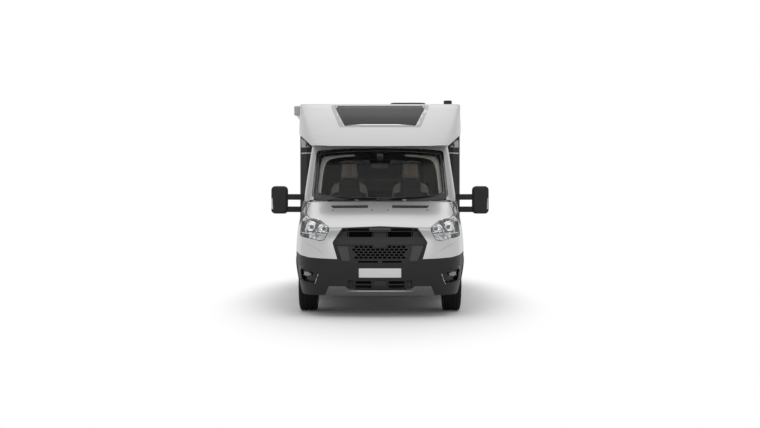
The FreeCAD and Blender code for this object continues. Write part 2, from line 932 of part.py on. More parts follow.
def lamp_inside(rows, outline):
    """Two reflector bowls on a headlamp's tray floor, and the shelf between its tiers."""
    sign = 1 if outline[0][0] > 0 else -1
    pieces = []
    within = front_prism(grown(outline, -S.lamp_wall / 2), high_station=lamp_back_station)
    for u, v, wide in REFLECTOR_SHARES:
        x = sign * S.cab_half_width * u
        z = S.cowl_height * v
        radius = S.reflector_radius * wide
        plug = skin_between(rows, S.reflector_rim, S.lamp_depth, front_prism(ring(x, z, radius)))
        line = Part.makeLine(Vector(x, nose_face, z), Vector(x, 0, z))
        face_y = min(vertex.Y for vertex in bowl(rows).common(line).Vertexes)
        bottom = face_y + S.lamp_depth - S.lamp_wall
        dish = Part.makeSphere(S.reflector_dish, Vector(x, bottom - S.reflector_dish, z))
        bowl_solids = plug.cut(dish).common(within).Solids
        pieces.append(max(bowl_solids, key=lambda solid: solid.Volume))
    shelf = [
        (sign * S.cab_half_width * u, S.cowl_height * v, 0) for u, v in LAMP_SHELF_SHARES
    ]
    drop = [(u, v - S.lamp_shelf, r) for u, v, r in reversed(shelf)]
    strip = front_prism(shelf + drop).common(within)
    pieces.append(skin_between(rows, S.reflector_rim / 2, S.lamp_depth, strip))
    return pieces


def build_nose():
    """Bonnet, wings, bumper, bumper trim and lamps, all cut from one skin."""
    rows = nose_rows()
    band = front_prism(
        box_corners(-half_width, S.nose_bottom, half_width, S.cowl_height),
        high_station=S.nose_length - S.seam,
    )
    skin = skin_between(rows, 0, S.panel_thick, band)
    arch = axle_cylinder(front_axle, S.arch_height, S.arch_radius, -half_width, half_width)
    lamps = [front_prism(o) for o in (lamp_outline, mirrored(lamp_outline))]
    seam_lamps = [
        front_prism(o) for o in (grown(lamp_outline, S.seam), mirrored(grown(lamp_outline, S.seam)))
    ]
    seam_fogs = [
        front_prism(outline) for outline in (fog_outline, mirrored(fog_outline))
    ]
    seam_grille = front_prism(grown(grille_outline, S.seam))

    bonnet_pins = []
    wing_pins = []
    pockets = []
    for sign in (1, -1):
        y, z, r = at(S.nose_length * BONNET_AXIS_SHARE), bonnet_axis_height, S.bonnet_pin_radius
        x0, x1 = sorted((sign * S.bonnet_pin_inner, sign * (S.bonnet_pin_joint - S.hinge_play)))
        bonnet_pins.append(axle_cylinder(y, z, r, x0, x1))
        leaf = Part.makeBox(
            x1 - x0, S.bonnet_leaf_length, r, Vector(x0, y - S.bonnet_leaf_length, z - r)
        )
        bonnet_pins.append(leaf)
        swing = S.bonnet_leaf_length + S.door_gap
        pockets.append(axle_cylinder(y, z, swing, x0 - S.hinge_play, x1 + S.hinge_play))
        x0, x1 = sorted((sign * S.bonnet_pin_joint, sign * S.bonnet_pin_outer))
        wing_pins.append(axle_cylinder(y, z, r, x0, x1))
    bonnet_keep = front_prism(bonnet_outline).common(
        prism(bonnet_plan, "XY", S.nose_bottom, S.cab_top)
    )
    bonnet_clear = front_prism(grown(bonnet_outline, S.door_gap)).common(
        prism(grown(bonnet_plan, S.door_gap), "XY", S.nose_bottom, S.cab_top)
    )
    shape_part("bonnet", fused([skin.common(bonnet_keep)] + bonnet_pins))

    below = front_prism(bumper_outline, high_station=front_axle_station)
    bumper = skin.common(below).cut(arch)
    bumper = bumper.cut(seam_grille)
    bumper = bumper.cut(front_prism(grown(intake_outline, S.seam)))
    bumper = bumper.cut(front_prism(grown(trim_outline, S.seam)))
    for tool in seam_fogs:
        bumper = bumper.cut(tool)
    shape_part("front_bumper", bumper)

    trim = skin.common(front_prism(trim_outline))
    shape_part("bumper_trim", trim)

    wing = skin.cut(bonnet_clear)
    for pocket in pockets:
        wing = wing.cut(pocket)
    beside = front_prism(grown(bumper_outline, S.seam), high_station=front_axle_station)
    wing = wing.cut(beside).cut(arch).cut(seam_grille)
    for tool in seam_lamps:
        wing = wing.cut(tool)
    door_pins = [pin for pin in cab_hinges(0)]
    wing = fused([wing] + wing_pins + door_pins)
    shape_part("front_wings", wing)

    lenses = [skin_between(rows, 0, S.lens_thick, tool) for tool in lamps]
    fog_floor = S.fog_depth - S.lamp_wall - S.seam
    for outline in (fog_lens_outline, mirrored(fog_lens_outline)):
        lenses.append(skin_between(rows, S.fog_lens_set, fog_floor, front_prism(outline)))
    shape_part("front_lamps", together(lenses))

    housings = []
    for outline in (lamp_outline, mirrored(lamp_outline)):
        tray = lamp_tray(rows, outline, S.lens_thick + S.seam, S.lamp_depth)
        housings.append(fused([tray] + lamp_inside(rows, outline)))
    for outline in (fog_outline, mirrored(fog_outline)):
        housings.append(lamp_tray(rows, outline, S.grille_set, S.fog_depth))
    shape_part("lamp_housings", together(housings))


build_nose()


def side_profile(outer_inset, inner_inset, low, high):
    """The cab side's own section between two heights, as an outline in (x, z)."""
    levels = [low] + [
        S.cab_top * t for t, _ in CAB_SIDE_SHARES if low < S.cab_top * t < high
    ] + [high]
    outer = [(cab_side(z) - outer_inset, z, 0) for z in levels]
    inner = [(cab_side(z) - inner_inset, z, 0) for z in reversed(levels)]
    return outer + inner


def side_slab(outer_inset, inner_inset, low, high, from_station, to_station):
    """Both cab sides between two heights and two stations."""
    outline = side_profile(outer_inset, inner_inset, low, high)
    return [
        front_prism(o, from_station, to_station) for o in (outline, mirrored(outline))
    ]


DOOR_SHARES = [
    (0.000, 0.000, 0.050),
    (1.000, 0.000, 0.050),
    (1.000, 1.000, 0.070),
    (0.530, 1.000, 0.060),
    (0.000, 0.680, 0.020),
]
DOOR_PANE_SHARES = [
    (0.085, 0.575, 0.030),
    (0.930, 0.575, 0.050),
    (0.930, 0.955, 0.050),
    (0.565, 0.955, 0.040),
    (0.085, 0.665, 0.020),
]
WINDSCREEN_SHARES = [
    (0.000, 0.0284, 0.000),
    (0.600, 0.0433, 0.400),
    (0.856, 0.0796, 0.030),
    (0.832, 0.9414, 0.040),
    (0.500, 0.9712, 0.400),
    (0.000, 0.9794, 0.000),
]
CAP_SHARES = [
    (0.000, 0.0001, 0.000),
    (0.580, 0.0111, 0.000),
    (0.815, 0.0407, 0.040),
    (1.000, 0.3407, 0.000),
    (1.050, 0.4252, 0.000),
    (1.050, 1.0000, 0.000),
    (0.000, 1.0000, 0.000),
]
SKYLIGHT_SHARES = [
    (0.000, 0.4358, 0.000),
    (0.424, 0.4358, 0.050),
    (0.572, 0.9535, 0.050),
    (0.000, 0.9535, 0.000),
]


def door_points(shares):
    run = door_rear_station - door_front_station
    rise = S.door_top - S.door_bottom
    return [
        (door_front_station + run * u, S.door_bottom + rise * v, run * r)
        for u, v, r in shares
    ]


door_outline = door_points(DOOR_SHARES)
pane_outline = door_points(DOOR_PANE_SHARES)
screen_rise = cap_lip_height - S.cowl_height
cap_rise = S.roof_height - cap_lip_height
windscreen_outline = both_sides(
    [
        (S.cab_half_width * u, S.cowl_height + screen_rise * v, S.cab_half_width * r)
        for u, v, r in WINDSCREEN_SHARES
    ]
)
cap_outline = both_sides(
    [(half_width * u, cap_lip_height + cap_rise * v, half_width * r) for u, v, r in CAP_SHARES]
)
skylight_outline = both_sides(
    [(half_width * u, cap_lip_height + cap_rise * v, half_width * r) for u, v, r in SKYLIGHT_SHARES]
)


def build_cab():
    """Cab shell, doors with glass and mirrors, windscreen and the cap above."""
    rows = glasshouse_rows()
    cut_back = front_prism(
        box_corners(-half_width, S.cowl_height + S.seam, half_width, cap_seat_height),
        high_station=cab_rear_station,
    )
    shell = skin_between(rows, 0, S.pillar_thick, cut_back)
    screen_hole = front_prism(grown(windscreen_outline, S.seam), high_station=door_rear_station)
    sides = side_slab(
        0, S.pillar_thick, S.sill_bottom, S.cowl_height + S.overrun,
        S.nose_length, cab_rear_station,
    )
    door_hole = side_prism(grown(door_outline, S.door_gap))
    rear_lap = side_prism(
        box_corners(
            door_rear_station - S.overrun, S.door_bottom, rear_seal_station, S.door_top
        )
    )
    shell = fused([shell.cut(screen_hole)] + sides)
    shell = shell.cut(door_hole)
    for sign in (1, -1):
        x0, x1 = sorted(
            (
                sign * (S.bonnet_pin_inner - S.bonnet_leaf_length),
                sign * (S.bonnet_pin_outer + S.door_gap),
            )
        )
        shell = shell.cut(
            axle_cylinder(
                at(S.nose_length * BONNET_AXIS_SHARE), bonnet_axis_height,
                S.bonnet_leaf_length + S.door_gap, x0, x1,
            )
        )
    shape_part("cab_shell", shell)

    keep_screen = front_prism(windscreen_outline, high_station=door_rear_station)
    screen = skin_between(rows, S.glass_inset, S.glass_inset + S.glass_thick, keep_screen)
    shape_part("windscreen", screen)

    door_slabs = side_slab(
        S.door_inset, S.door_inset + S.door_thick, S.door_bottom - S.overrun, S.door_top + S.overrun,
        door_front_station - S.overrun, door_rear_station + S.overrun,
    )
    pane_slabs = side_slab(
        S.door_inset + S.glass_inset, S.door_inset + S.glass_inset + S.glass_thick,
        S.door_bottom, S.door_top,
        door_front_station, door_rear_station,
    )
    cut_door = side_prism(door_outline)
    cut_pane = side_prism(grown(pane_outline, S.seam))
    keep_pane = side_prism(pane_outline)
    for side, right in ((0, False), (1, True)):
        name = "right" if right else "left"
        sign = -1 if right else 1
        swing = Part.makeCylinder(
            door_rear_station - door_front_station + S.door_swing_margin, S.cab_top,
            Vector(sign * S.cab_hinge_offset, at(door_front_station), 0),
        )
        door = door_slabs[side].common(cut_door).common(swing).cut(cut_pane)
        for pocket in cab_hinges(S.hinge_play, sign):
            door = door.cut(pocket)
        shape_part(f"cab_door_{name}", door)
        shape_part(f"cab_door_glass_{name}", pane_slabs[side].common(keep_pane))
        build_mirror(name, sign)

    keep_cap = front_prism(cap_outline, high_station=cab_rear_station)
    cap = skin_between(cap_rows(), 0, S.cap_thick, keep_cap, shifted_rows)
    soffit_band = prism(
        box_corners(-half_width, at(0), half_width, at(cab_rear_station)), "XY",
        cap_seat_height, cap_seat_height + S.cap_thick,
    )
    soffit = bowl(shifted_rows(cap_rows(), S.cap_thick / 2)).common(soffit_band)
    soffit = soffit.cut(bowl(inset_rows(rows, S.pillar_thick)))
    cap = fused([cap, soffit.common(front_prism(cap_outline))])
    cap = cap.cut(front_prism(grown(skylight_outline, S.seam)))
    shape_part("overcab_cap", cap)
    glass = skin_between(
        cap_rows(), S.cap_glass_inset, S.cap_glass_inset + S.cap_glass_thick,
        front_prism(skylight_outline), shifted_rows,
    )
    shape_part("overcab_window", glass)


def build_mirror(name, sign):
    """A tall mirror head carried by two arms from the door's front."""
    mirror_station = S.nose_length + S.mirror_setback
    foot_station = S.nose_length + S.mirror_foot_setback
    face = at(mirror_station)
    back = at(mirror_station + S.mirror_depth)
    outline = box_corners(
        S.mirror_inner, S.mirror_bottom, S.mirror_outer, S.mirror_top, S.mirror_radius
    )
    head = prism(outline, "XZ", face, back)
    rim = [edge for edge in head.Edges if edge.BoundBox.YMax < face + S.seam]
    head = head.makeFillet(S.mirror_crown, rim)
    recess = grown(outline, -S.mirror_border)
    head = head.cut(prism(recess, "XZ", back - S.mirror_recess, back + S.overrun))
    split = S.mirror_bottom + (S.mirror_top - S.mirror_bottom) * S.mirror_split_share
    panes = []
    for low, high in (
        (S.mirror_bottom + S.mirror_border, split), (split + S.door_gap, S.mirror_top - S.mirror_border)
    ):
        pane = box_corners(
            S.mirror_inner + S.mirror_border, low, S.mirror_outer - S.mirror_border, high,
            S.mirror_radius - S.mirror_border,
        )
        seat = back - S.mirror_recess + S.pane_seam
        panes.append(prism(grown(pane, -S.door_inset), "XZ", seat, seat + S.mirror_glass_thick))
    arms = []
    arm_middle = at(mirror_station + S.mirror_depth / 2)
    arm_half = S.mirror_arm_width / 2
    for low in (S.mirror_arm_low, S.mirror_arm_high):
        root = cab_side(low) - S.door_thick / 2
        tip = S.mirror_inner + S.mirror_radius
        plan = [
            (root, at(foot_station), 0),
            (root, at(foot_station + S.mirror_arm_width), 0),
            (tip, arm_middle + arm_half, 0),
            (tip, arm_middle - arm_half, 0),
        ]
        arms.append(prism(plan, "XY", low, low + S.mirror_arm_height))
    whole = fused([head] + arms)
    slab = side_slab(
        S.door_inset - S.seam, S.door_thick + S.overrun, S.door_bottom, S.door_top,
        door_front_station, door_rear_station,
    )[0]
    pieces = [whole.cut(slab)] + panes
    if sign < 0:
        pieces = [piece.mirror(Vector(0, 0, 0), Vector(1, 0, 0)) for piece in pieces]
    shape_part(f"mirror_{name}", together(pieces))


build_cab()

STATION_ZERO = f"{OVERALL} / 2"


def st(expression):
    """The Y of a station expression, for the document's own expressions."""
    return f"{expression} - {STATION_ZERO}"


def yz(stations):
    """Corners given in (station, height) as corners in (y, z)."""
    return [(at(u), v, r) for u, v, r in stations]


# places of the floor bearers along the living body, as shares of its length
BEARER_SHARES = [0.018, 0.218, 0.394, 0.630, 0.799, 0.967]


def build_chassis():
    """Ladder frame, axles, steering knuckles, wheels and what hangs below."""
    rail_low = S.rail_bottom
    rail_high = S.rail_bottom + S.rail_height
    frame = new_body("chassis_frame")
    rails = []
    for x in (-S.rail_centre, S.rail_centre):
        rails.append(
            box_corners(x - S.rail_width / 2, rail_low, x + S.rail_width / 2, rail_high, S.rail_radius)
        )
    add_pad(
        frame, "XZ", st("sizes.rail_front_station"), rails,
        f"{OVERALL} - sizes.rail_rear_inset - sizes.rail_front_station",
    )
    beam = [
        box_corners(
            -S.beam_half_length, S.beam_bottom, S.beam_half_length, rail_high, S.rail_radius
        )
    ]
    add_pad(
        frame, "XZ", st("sizes.rail_front_station - sizes.beam_depth"), beam, "sizes.beam_depth"
    )
    pads = [
        ring(x, at(u), S.jack_pad_radius)
        for u in (S.nose_length + S.jack_front_setback, rear_axle_station + S.jack_rear_setback)
        for x in (-S.rail_centre, S.rail_centre)
    ]
    add_pad(frame, "XY", "sizes.rail_bottom - sizes.jack_pad_height", pads, "sizes.jack_pad_height")
    socket = [ring(S.tow_socket_offset, S.tow_socket_height, S.tow_socket_radius)]
    add_pad(
        frame, "XZ", st("sizes.rail_front_station - sizes.beam_depth"), socket,
        "sizes.beam_depth", "PartDesign::Pocket",
    )
    holes = [
        ring(x, at(overall_length - S.rail_rear_inset - S.towbar_inset) + dy, S.towbar_hole_radius)
        for x in (-S.rail_centre, S.rail_centre)
        for dy in (-S.towbar_spacing / 2, S.towbar_spacing / 2)
    ]
    add_pad(
        frame, "XY", "sizes.rail_bottom", holes, "sizes.towbar_hole_depth", "PartDesign::Pocket"
    )

    # cross members between the rails and floor bearers that lie across them
    members = []
    between = S.rail_centre - S.rail_width / 2 - S.seam
    house_length = rear_wall_station - wall_front_station
    house_stations = [wall_front_station + house_length * share for share in BEARER_SHARES]
    bearers = [
        (S.nose_length + S.cab_bearer_front_setback, S.cab_bearer_reach),
        (S.nose_length + S.cab_bearer_rear_setback, S.cab_bearer_reach),
    ]
    bearers += [(station, S.cross_reach) for station in house_stations]
    for station, reach in bearers:
        y = at(station) - S.cross_width / 2
        members.append(
            Part.makeBox(
                2 * between, S.cross_width, S.rail_height - 2 * S.cross_inset,
                Vector(-between, y, rail_low + S.cross_inset),
            )
        )
        members.append(
            Part.makeBox(
                2 * reach, S.cross_width, S.floor_bottom - rail_high, Vector(-reach, y, rail_high)
            )
        )
    shape_part("cross_members", together(members))

    # engine and gearbox as one plain block on two cross bearers, radiator ahead of it
    engine = new_body("engine_block")
    block = [
        (at(S.engine_front_station), S.engine_bottom, S.engine_radius),
        (at(S.engine_rear_station), S.engine_bottom, S.engine_radius),
        (at(S.gearbox_rear_station), S.gearbox_bottom, S.engine_radius),
        (at(S.gearbox_rear_station), S.gearbox_top, S.engine_radius),
        (at(S.engine_rear_station), S.engine_top, S.engine_radius),
        (at(S.engine_front_station), S.engine_shoulder, S.engine_radius),
    ]
    add_pad(engine, "YZ", "-sizes.engine_half_width", [block], "2 * sizes.engine_half_width")
    feet = [
        box_corners(
            at(u) - S.cross_width / 2, rail_low + S.foot_rise, at(u) + S.cross_width / 2, rail_high
        )
        for u in (S.engine_front_foot_station, S.engine_rear_foot_station)
    ]
    add_pad(
        engine, "YZ",
        "-(sizes.rail_centre - sizes.rail_width / 2 - sizes.seam)", feet,
        "2 * (sizes.rail_centre - sizes.rail_width / 2 - sizes.seam)",
    )
    pad_body(
        "radiator", "YZ", "-sizes.radiator_half_width",
        [box_corners(
            at(S.radiator_station), S.radiator_bottom,
            at(S.radiator_station) + S.radiator_thick, S.radiator_top, S.rail_radius,
        )],
        "2 * sizes.radiator_half_width",
    )

    # front suspension: two wishbones a side, between them the knuckle turns on its pins
    arms = new_body("front_suspension")
    rail_side = S.rail_centre + S.rail_width / 2
    arm = [
        (rail_side + S.seam, front_axle - S.arm_root_half, 0),
        (S.kingpin_offset, front_axle - S.arm_tip_half, S.arm_tip_radius),
        (S.kingpin_offset + S.arm_tip_half, front_axle - S.arm_tip_half, S.arm_tip_radius),
        (S.kingpin_offset + S.arm_tip_half, front_axle + S.arm_tip_half, S.arm_tip_radius),
        (S.kingpin_offset, front_axle + S.arm_tip_half, S.arm_tip_radius),
        (rail_side + S.seam, front_axle + S.arm_root_half, 0),
    ]
    for height in ("lower_arm_height", "upper_arm_height"):
        add_pad(
            arms, "XY", f"sizes.{height} - sizes.arm_height / 2", [arm, mirrored(arm)],
            "sizes.arm_height",
        )
    post = box_corners(
        rail_side + S.seam, front_axle - S.arm_root_half,
        rail_side + S.post_reach, front_axle + S.arm_root_half,
    )
    posts = [post, mirrored(post)]
    add_pad(
        arms, "XY", "sizes.lower_arm_height", posts, "sizes.upper_arm_height - sizes.lower_arm_height"
    )

    for name, sign in (("left", 1), ("right", -1)):
        x_pin = sign * S.kingpin_offset
        low = S.lower_arm_height + S.arm_height / 2 + S.knuckle_gap
        high = S.upper_arm_height - S.arm_height / 2 - S.knuckle_gap
        upright = Part.makeCylinder(S.knuckle_half, high - low, Vector(x_pin, front_axle, low))
        x0, x1 = sorted((x_pin, sign * (S.front_track / 2 + S.spindle_reach)))
        spindle = axle_cylinder(front_axle, S.tyre_radius, S.spindle_radius, x0, x1)
        shape_part(f"knuckle_{name}", fused([upright, spindle]))

    # rear axle beam with leaf springs, shackles under the rails
    beam = axle_cylinder(
        rear_axle, S.tyre_radius, S.axle_beam_radius, -S.rear_hub_offset, S.rear_hub_offset
    )
    spindles = axle_cylinder(
        rear_axle, S.tyre_radius, S.spindle_radius,
        -(S.rear_track / 2 + S.spindle_reach), S.rear_track / 2 + S.spindle_reach,
    )
    leaves = []
    seat = rail_low - S.seam
    eye = rail_low - S.leaf_drop
    inner_length = S.leaf_half_length - S.shackle_width
    leaf = [
        (rear_axle - S.leaf_half_length, seat, 0),
        (rear_axle - S.leaf_half_length, eye, 0),
        (rear_axle, S.leaf_bottom, S.leaf_bend),
        (rear_axle + S.leaf_half_length, eye, 0),
        (rear_axle + S.leaf_half_length, seat, 0),
        (rear_axle + inner_length, seat, 0),
        (rear_axle + inner_length, eye + S.leaf_rise, 0),
        (rear_axle, S.leaf_bottom + S.leaf_thick, S.leaf_bend),
        (rear_axle - inner_length, eye + S.leaf_rise, 0),
        (rear_axle - inner_length, seat, 0),
    ]
    for sign in (-1, 1):
        inner = sign * S.rail_centre - S.leaf_width / 2
        leaves.append(prism(leaf, "YZ", inner, inner + S.leaf_width))
    shape_part("rear_axle", fused([beam, spindles] + leaves))

    # wheels: a tyre and a rim on each spindle
    for name, track, y in (
        ("front_left", S.front_track, front_axle),
        ("front_right", -S.front_track, front_axle),
        ("rear_left", S.rear_track, rear_axle),
        ("rear_right", -S.rear_track, rear_axle),
    ):
        sign = 1 if track > 0 else -1
        x = track / 2
        w = S.tyre_width / 2
        b = S.rim_width / 2
        tyre = [
            (-b, S.rim_radius + S.seam, 0),
            (b, S.rim_radius + S.seam, 0),
            (w, S.tyre_radius - S.tyre_shoulder * 2, S.tyre_shoulder),
            (w - S.tyre_shoulder / 2, S.tyre_radius, S.tyre_shoulder / 2),
            (S.tyre_width / 4, S.tyre_radius, 0),
            (-S.tyre_width / 4, S.tyre_radius, 0),
            (-w + S.tyre_shoulder / 2, S.tyre_radius, S.tyre_shoulder / 2),
            (-w, S.tyre_radius - S.tyre_shoulder * 2, S.tyre_shoulder),
        ]
        front = "front" in name
        track_name = "front_track" if front else "rear_track"
        axle_place = st(FRONT_AXLE if front else REAR_AXLE)
        prefix = "" if sign > 0 else "-"
        revolved_body(
            f"tyre_{name}", f"{prefix}sizes.{track_name} / 2", axle_place,
            "sizes.tyre_radius", tyre,
        )
        face = S.rim_face_offset * sign
        t = S.rim_wall
        disc = S.rim_disc_thick / 2
        profile = [
            (-b, S.rim_radius, 0),
            (b, S.rim_radius, 0),
            (b, S.rim_radius - t, 0),
            (face + disc, S.rim_radius - t - S.rim_drop, 0),
            (face + disc, S.hub_radius, 0),
            (face + disc + S.hub_boss / 2, S.hub_radius, 0),
            (face + disc + S.hub_boss / 2, S.spindle_radius + S.spindle_clearance, 0),
            (face - disc - S.hub_boss / 2, S.spindle_radius + S.spindle_clearance, 0),
            (face - disc - S.hub_boss / 2, S.hub_radius, 0),
            (face - disc, S.hub_radius, 0),
            (face - disc, S.rim_radius - t - S.rim_drop, 0),
            (-b, S.rim_radius - t, 0),
        ]
        rim = revolved_body(
            f"rim_{name}", f"{prefix}sizes.{track_name} / 2", axle_place,
            "sizes.tyre_radius", profile,
        )
        windows = []
        radius = (S.rim_radius + S.hub_radius) / 2
        count = int(S.rim_window_count)
        for k in range(count):
            angle = 2 * math.pi * k / count
            windows.append(
                ring(
                    y + radius * math.cos(angle), S.tyre_radius + radius * math.sin(angle),
                    S.rim_window_radius,
                )
            )
        sketch = new_sketch(
            rim, "YZ", f"{prefix}sizes.{track_name} / 2 - sizes.rim_width / 2", windows
        )
        pocket = rim.newObject("PartDesign::Pocket", rim.Name + "_windows")
        pocket.Profile = sketch
        pocket.setExpression("Length", "sizes.rim_width")
        pocket.Reversed = True
        rim.Tip = pocket

    # exhaust and tanks under the floor
    exhaust_front = S.nose_length + S.exhaust_front_setback
    exhaust_rear = S.nose_length + S.exhaust_rear_setback
    silencer_front = S.nose_length + S.silencer_setback
    pipe_path = [
        (at(exhaust_front), S.exhaust_height, 0),
        (at(exhaust_rear), S.exhaust_height, 0),
        (at(exhaust_rear), S.exhaust_height + S.exhaust_pipe, 0),
        (at(exhaust_front), S.exhaust_height + S.exhaust_pipe, 0),
    ]
    pipe = prism(pipe_path, "YZ", S.exhaust_offset, S.exhaust_offset + S.exhaust_pipe)
    pipe_middle = Vector(
        S.exhaust_offset + S.exhaust_pipe / 2, at(silencer_front),
        S.exhaust_height + S.exhaust_pipe / 2,
    )
    box = Part.makeCylinder(S.silencer_radius, S.silencer_length, pipe_middle, Vector(0, 1, 0))
    hanger_y = at(silencer_front) - S.hanger_setback
    hanger_top = rail_low + S.foot_rise
    hanger = Part.makeBox(
        S.exhaust_pipe, S.exhaust_pipe, hanger_top - S.exhaust_height,
        Vector(S.exhaust_offset, hanger_y, S.exhaust_height),
    )
    hanger_arm = Part.makeBox(
        between - S.exhaust_offset, S.exhaust_pipe, S.exhaust_pipe,
        Vector(S.exhaust_offset, hanger_y, hanger_top - S.exhaust_pipe),
    )
    shape_part("exhaust", fused([pipe, box, hanger, hanger_arm]))
    fresh = wall_front_station + S.fresh_tank_setback
    waste = wall_front_station + S.waste_tank_setback
    garage = rear_axle_station + S.garage_tank_setback
    tanks = []
    for x0, x1, start, length in (
        (-S.tank_outer, -S.tank_inner, fresh, S.fresh_tank_length),
        (S.tank_inner, S.tank_outer, fresh, S.fresh_tank_length),
        (S.tank_inner, S.tank_outer, waste, S.waste_tank_length),
        (-S.garage_tank_half, S.garage_tank_half, garage, S.garage_tank_length),
    ):
        section = box_corners(x0, S.tank_bottom, x1, S.floor_bottom - S.seam, S.tank_radius)
        tanks.append(prism(section, "XZ", at(start), at(start + length)))
    shape_part("underfloor_tanks", together(tanks))


def wall_outline(side):
    """Side outline of a living-body wall with its rear arch, as (station, height, radius)."""
    arch = rear_axle_station
    return [
        (wall_front_station, S.wall_bottom, 0),
        (arch - S.arch_radius, S.wall_bottom, 0),
        (arch - S.arch_radius, S.arch_top, S.arch_corner),
        (arch + S.arch_radius, S.arch_top, S.arch_corner),
        (arch + S.arch_radius, S.wall_bottom, 0),
        (rear_wall_station, S.wall_bottom, 0),
        (rear_wall_station, S.roof_height - S.roof_thick, 0),
        (wall_front_station, S.roof_height - S.roof_thick, 0),
    ]


def opening_station(name, edge):
    """Station of an opening's front or rear edge, behind the wall's front or the rear axle."""
    behind_axle = name in ("bed_window", "garage_door")
    anchor = rear_axle_station if behind_axle else wall_front_station
    return anchor + getattr(S, f"{name}_{edge}")


def opening_level(name, edge):
    """Height of an opening's low or high edge, above the ground or down from the roof."""
    drop = getattr(S, f"{name}_{edge}_drop", None)
    return getattr(S, f"{name}_{edge}") if drop is None else S.roof_height - drop


def opening(name):
    """An opening's corners from its four named edges, as (station, height, radius)."""
    front = opening_station(name, "front")
    rear = opening_station(name, "rear")
    return box_corners(
        front, opening_level(name, "low"), rear, opening_level(name, "high"), S.opening_radius
    )


# where each side wall's section starts across the vehicle
WALL_OFFSETS = {
    "left": "sizes.body_width / 2 - sizes.wall_thick",
    "right": "-sizes.body_width / 2",
}


def hinge_levels(name):
    """Heights of a door's two hinge barrels, a share of the door's height from each end."""
    low = opening_level(name, "low")
    high = opening_level(name, "high")
    inset = (high - low) * S.hinge_inset_share
    return [low + inset, high - inset - S.hinge_length]


def cut_hinges(body, name, sign):
    """Pockets in a house door around its hinge barrels."""
    for low in hinge_levels(name):
        pocket = [
            ring(sign * half_width, at(opening_station(name, "front")), S.hinge_radius + S.hinge_play)
        ]
        add_pad(
            body, "XY", f"{low} - sizes.hinge_play", pocket,
            "sizes.hinge_length + 2 * sizes.hinge_play", "PartDesign::Pocket",
        )


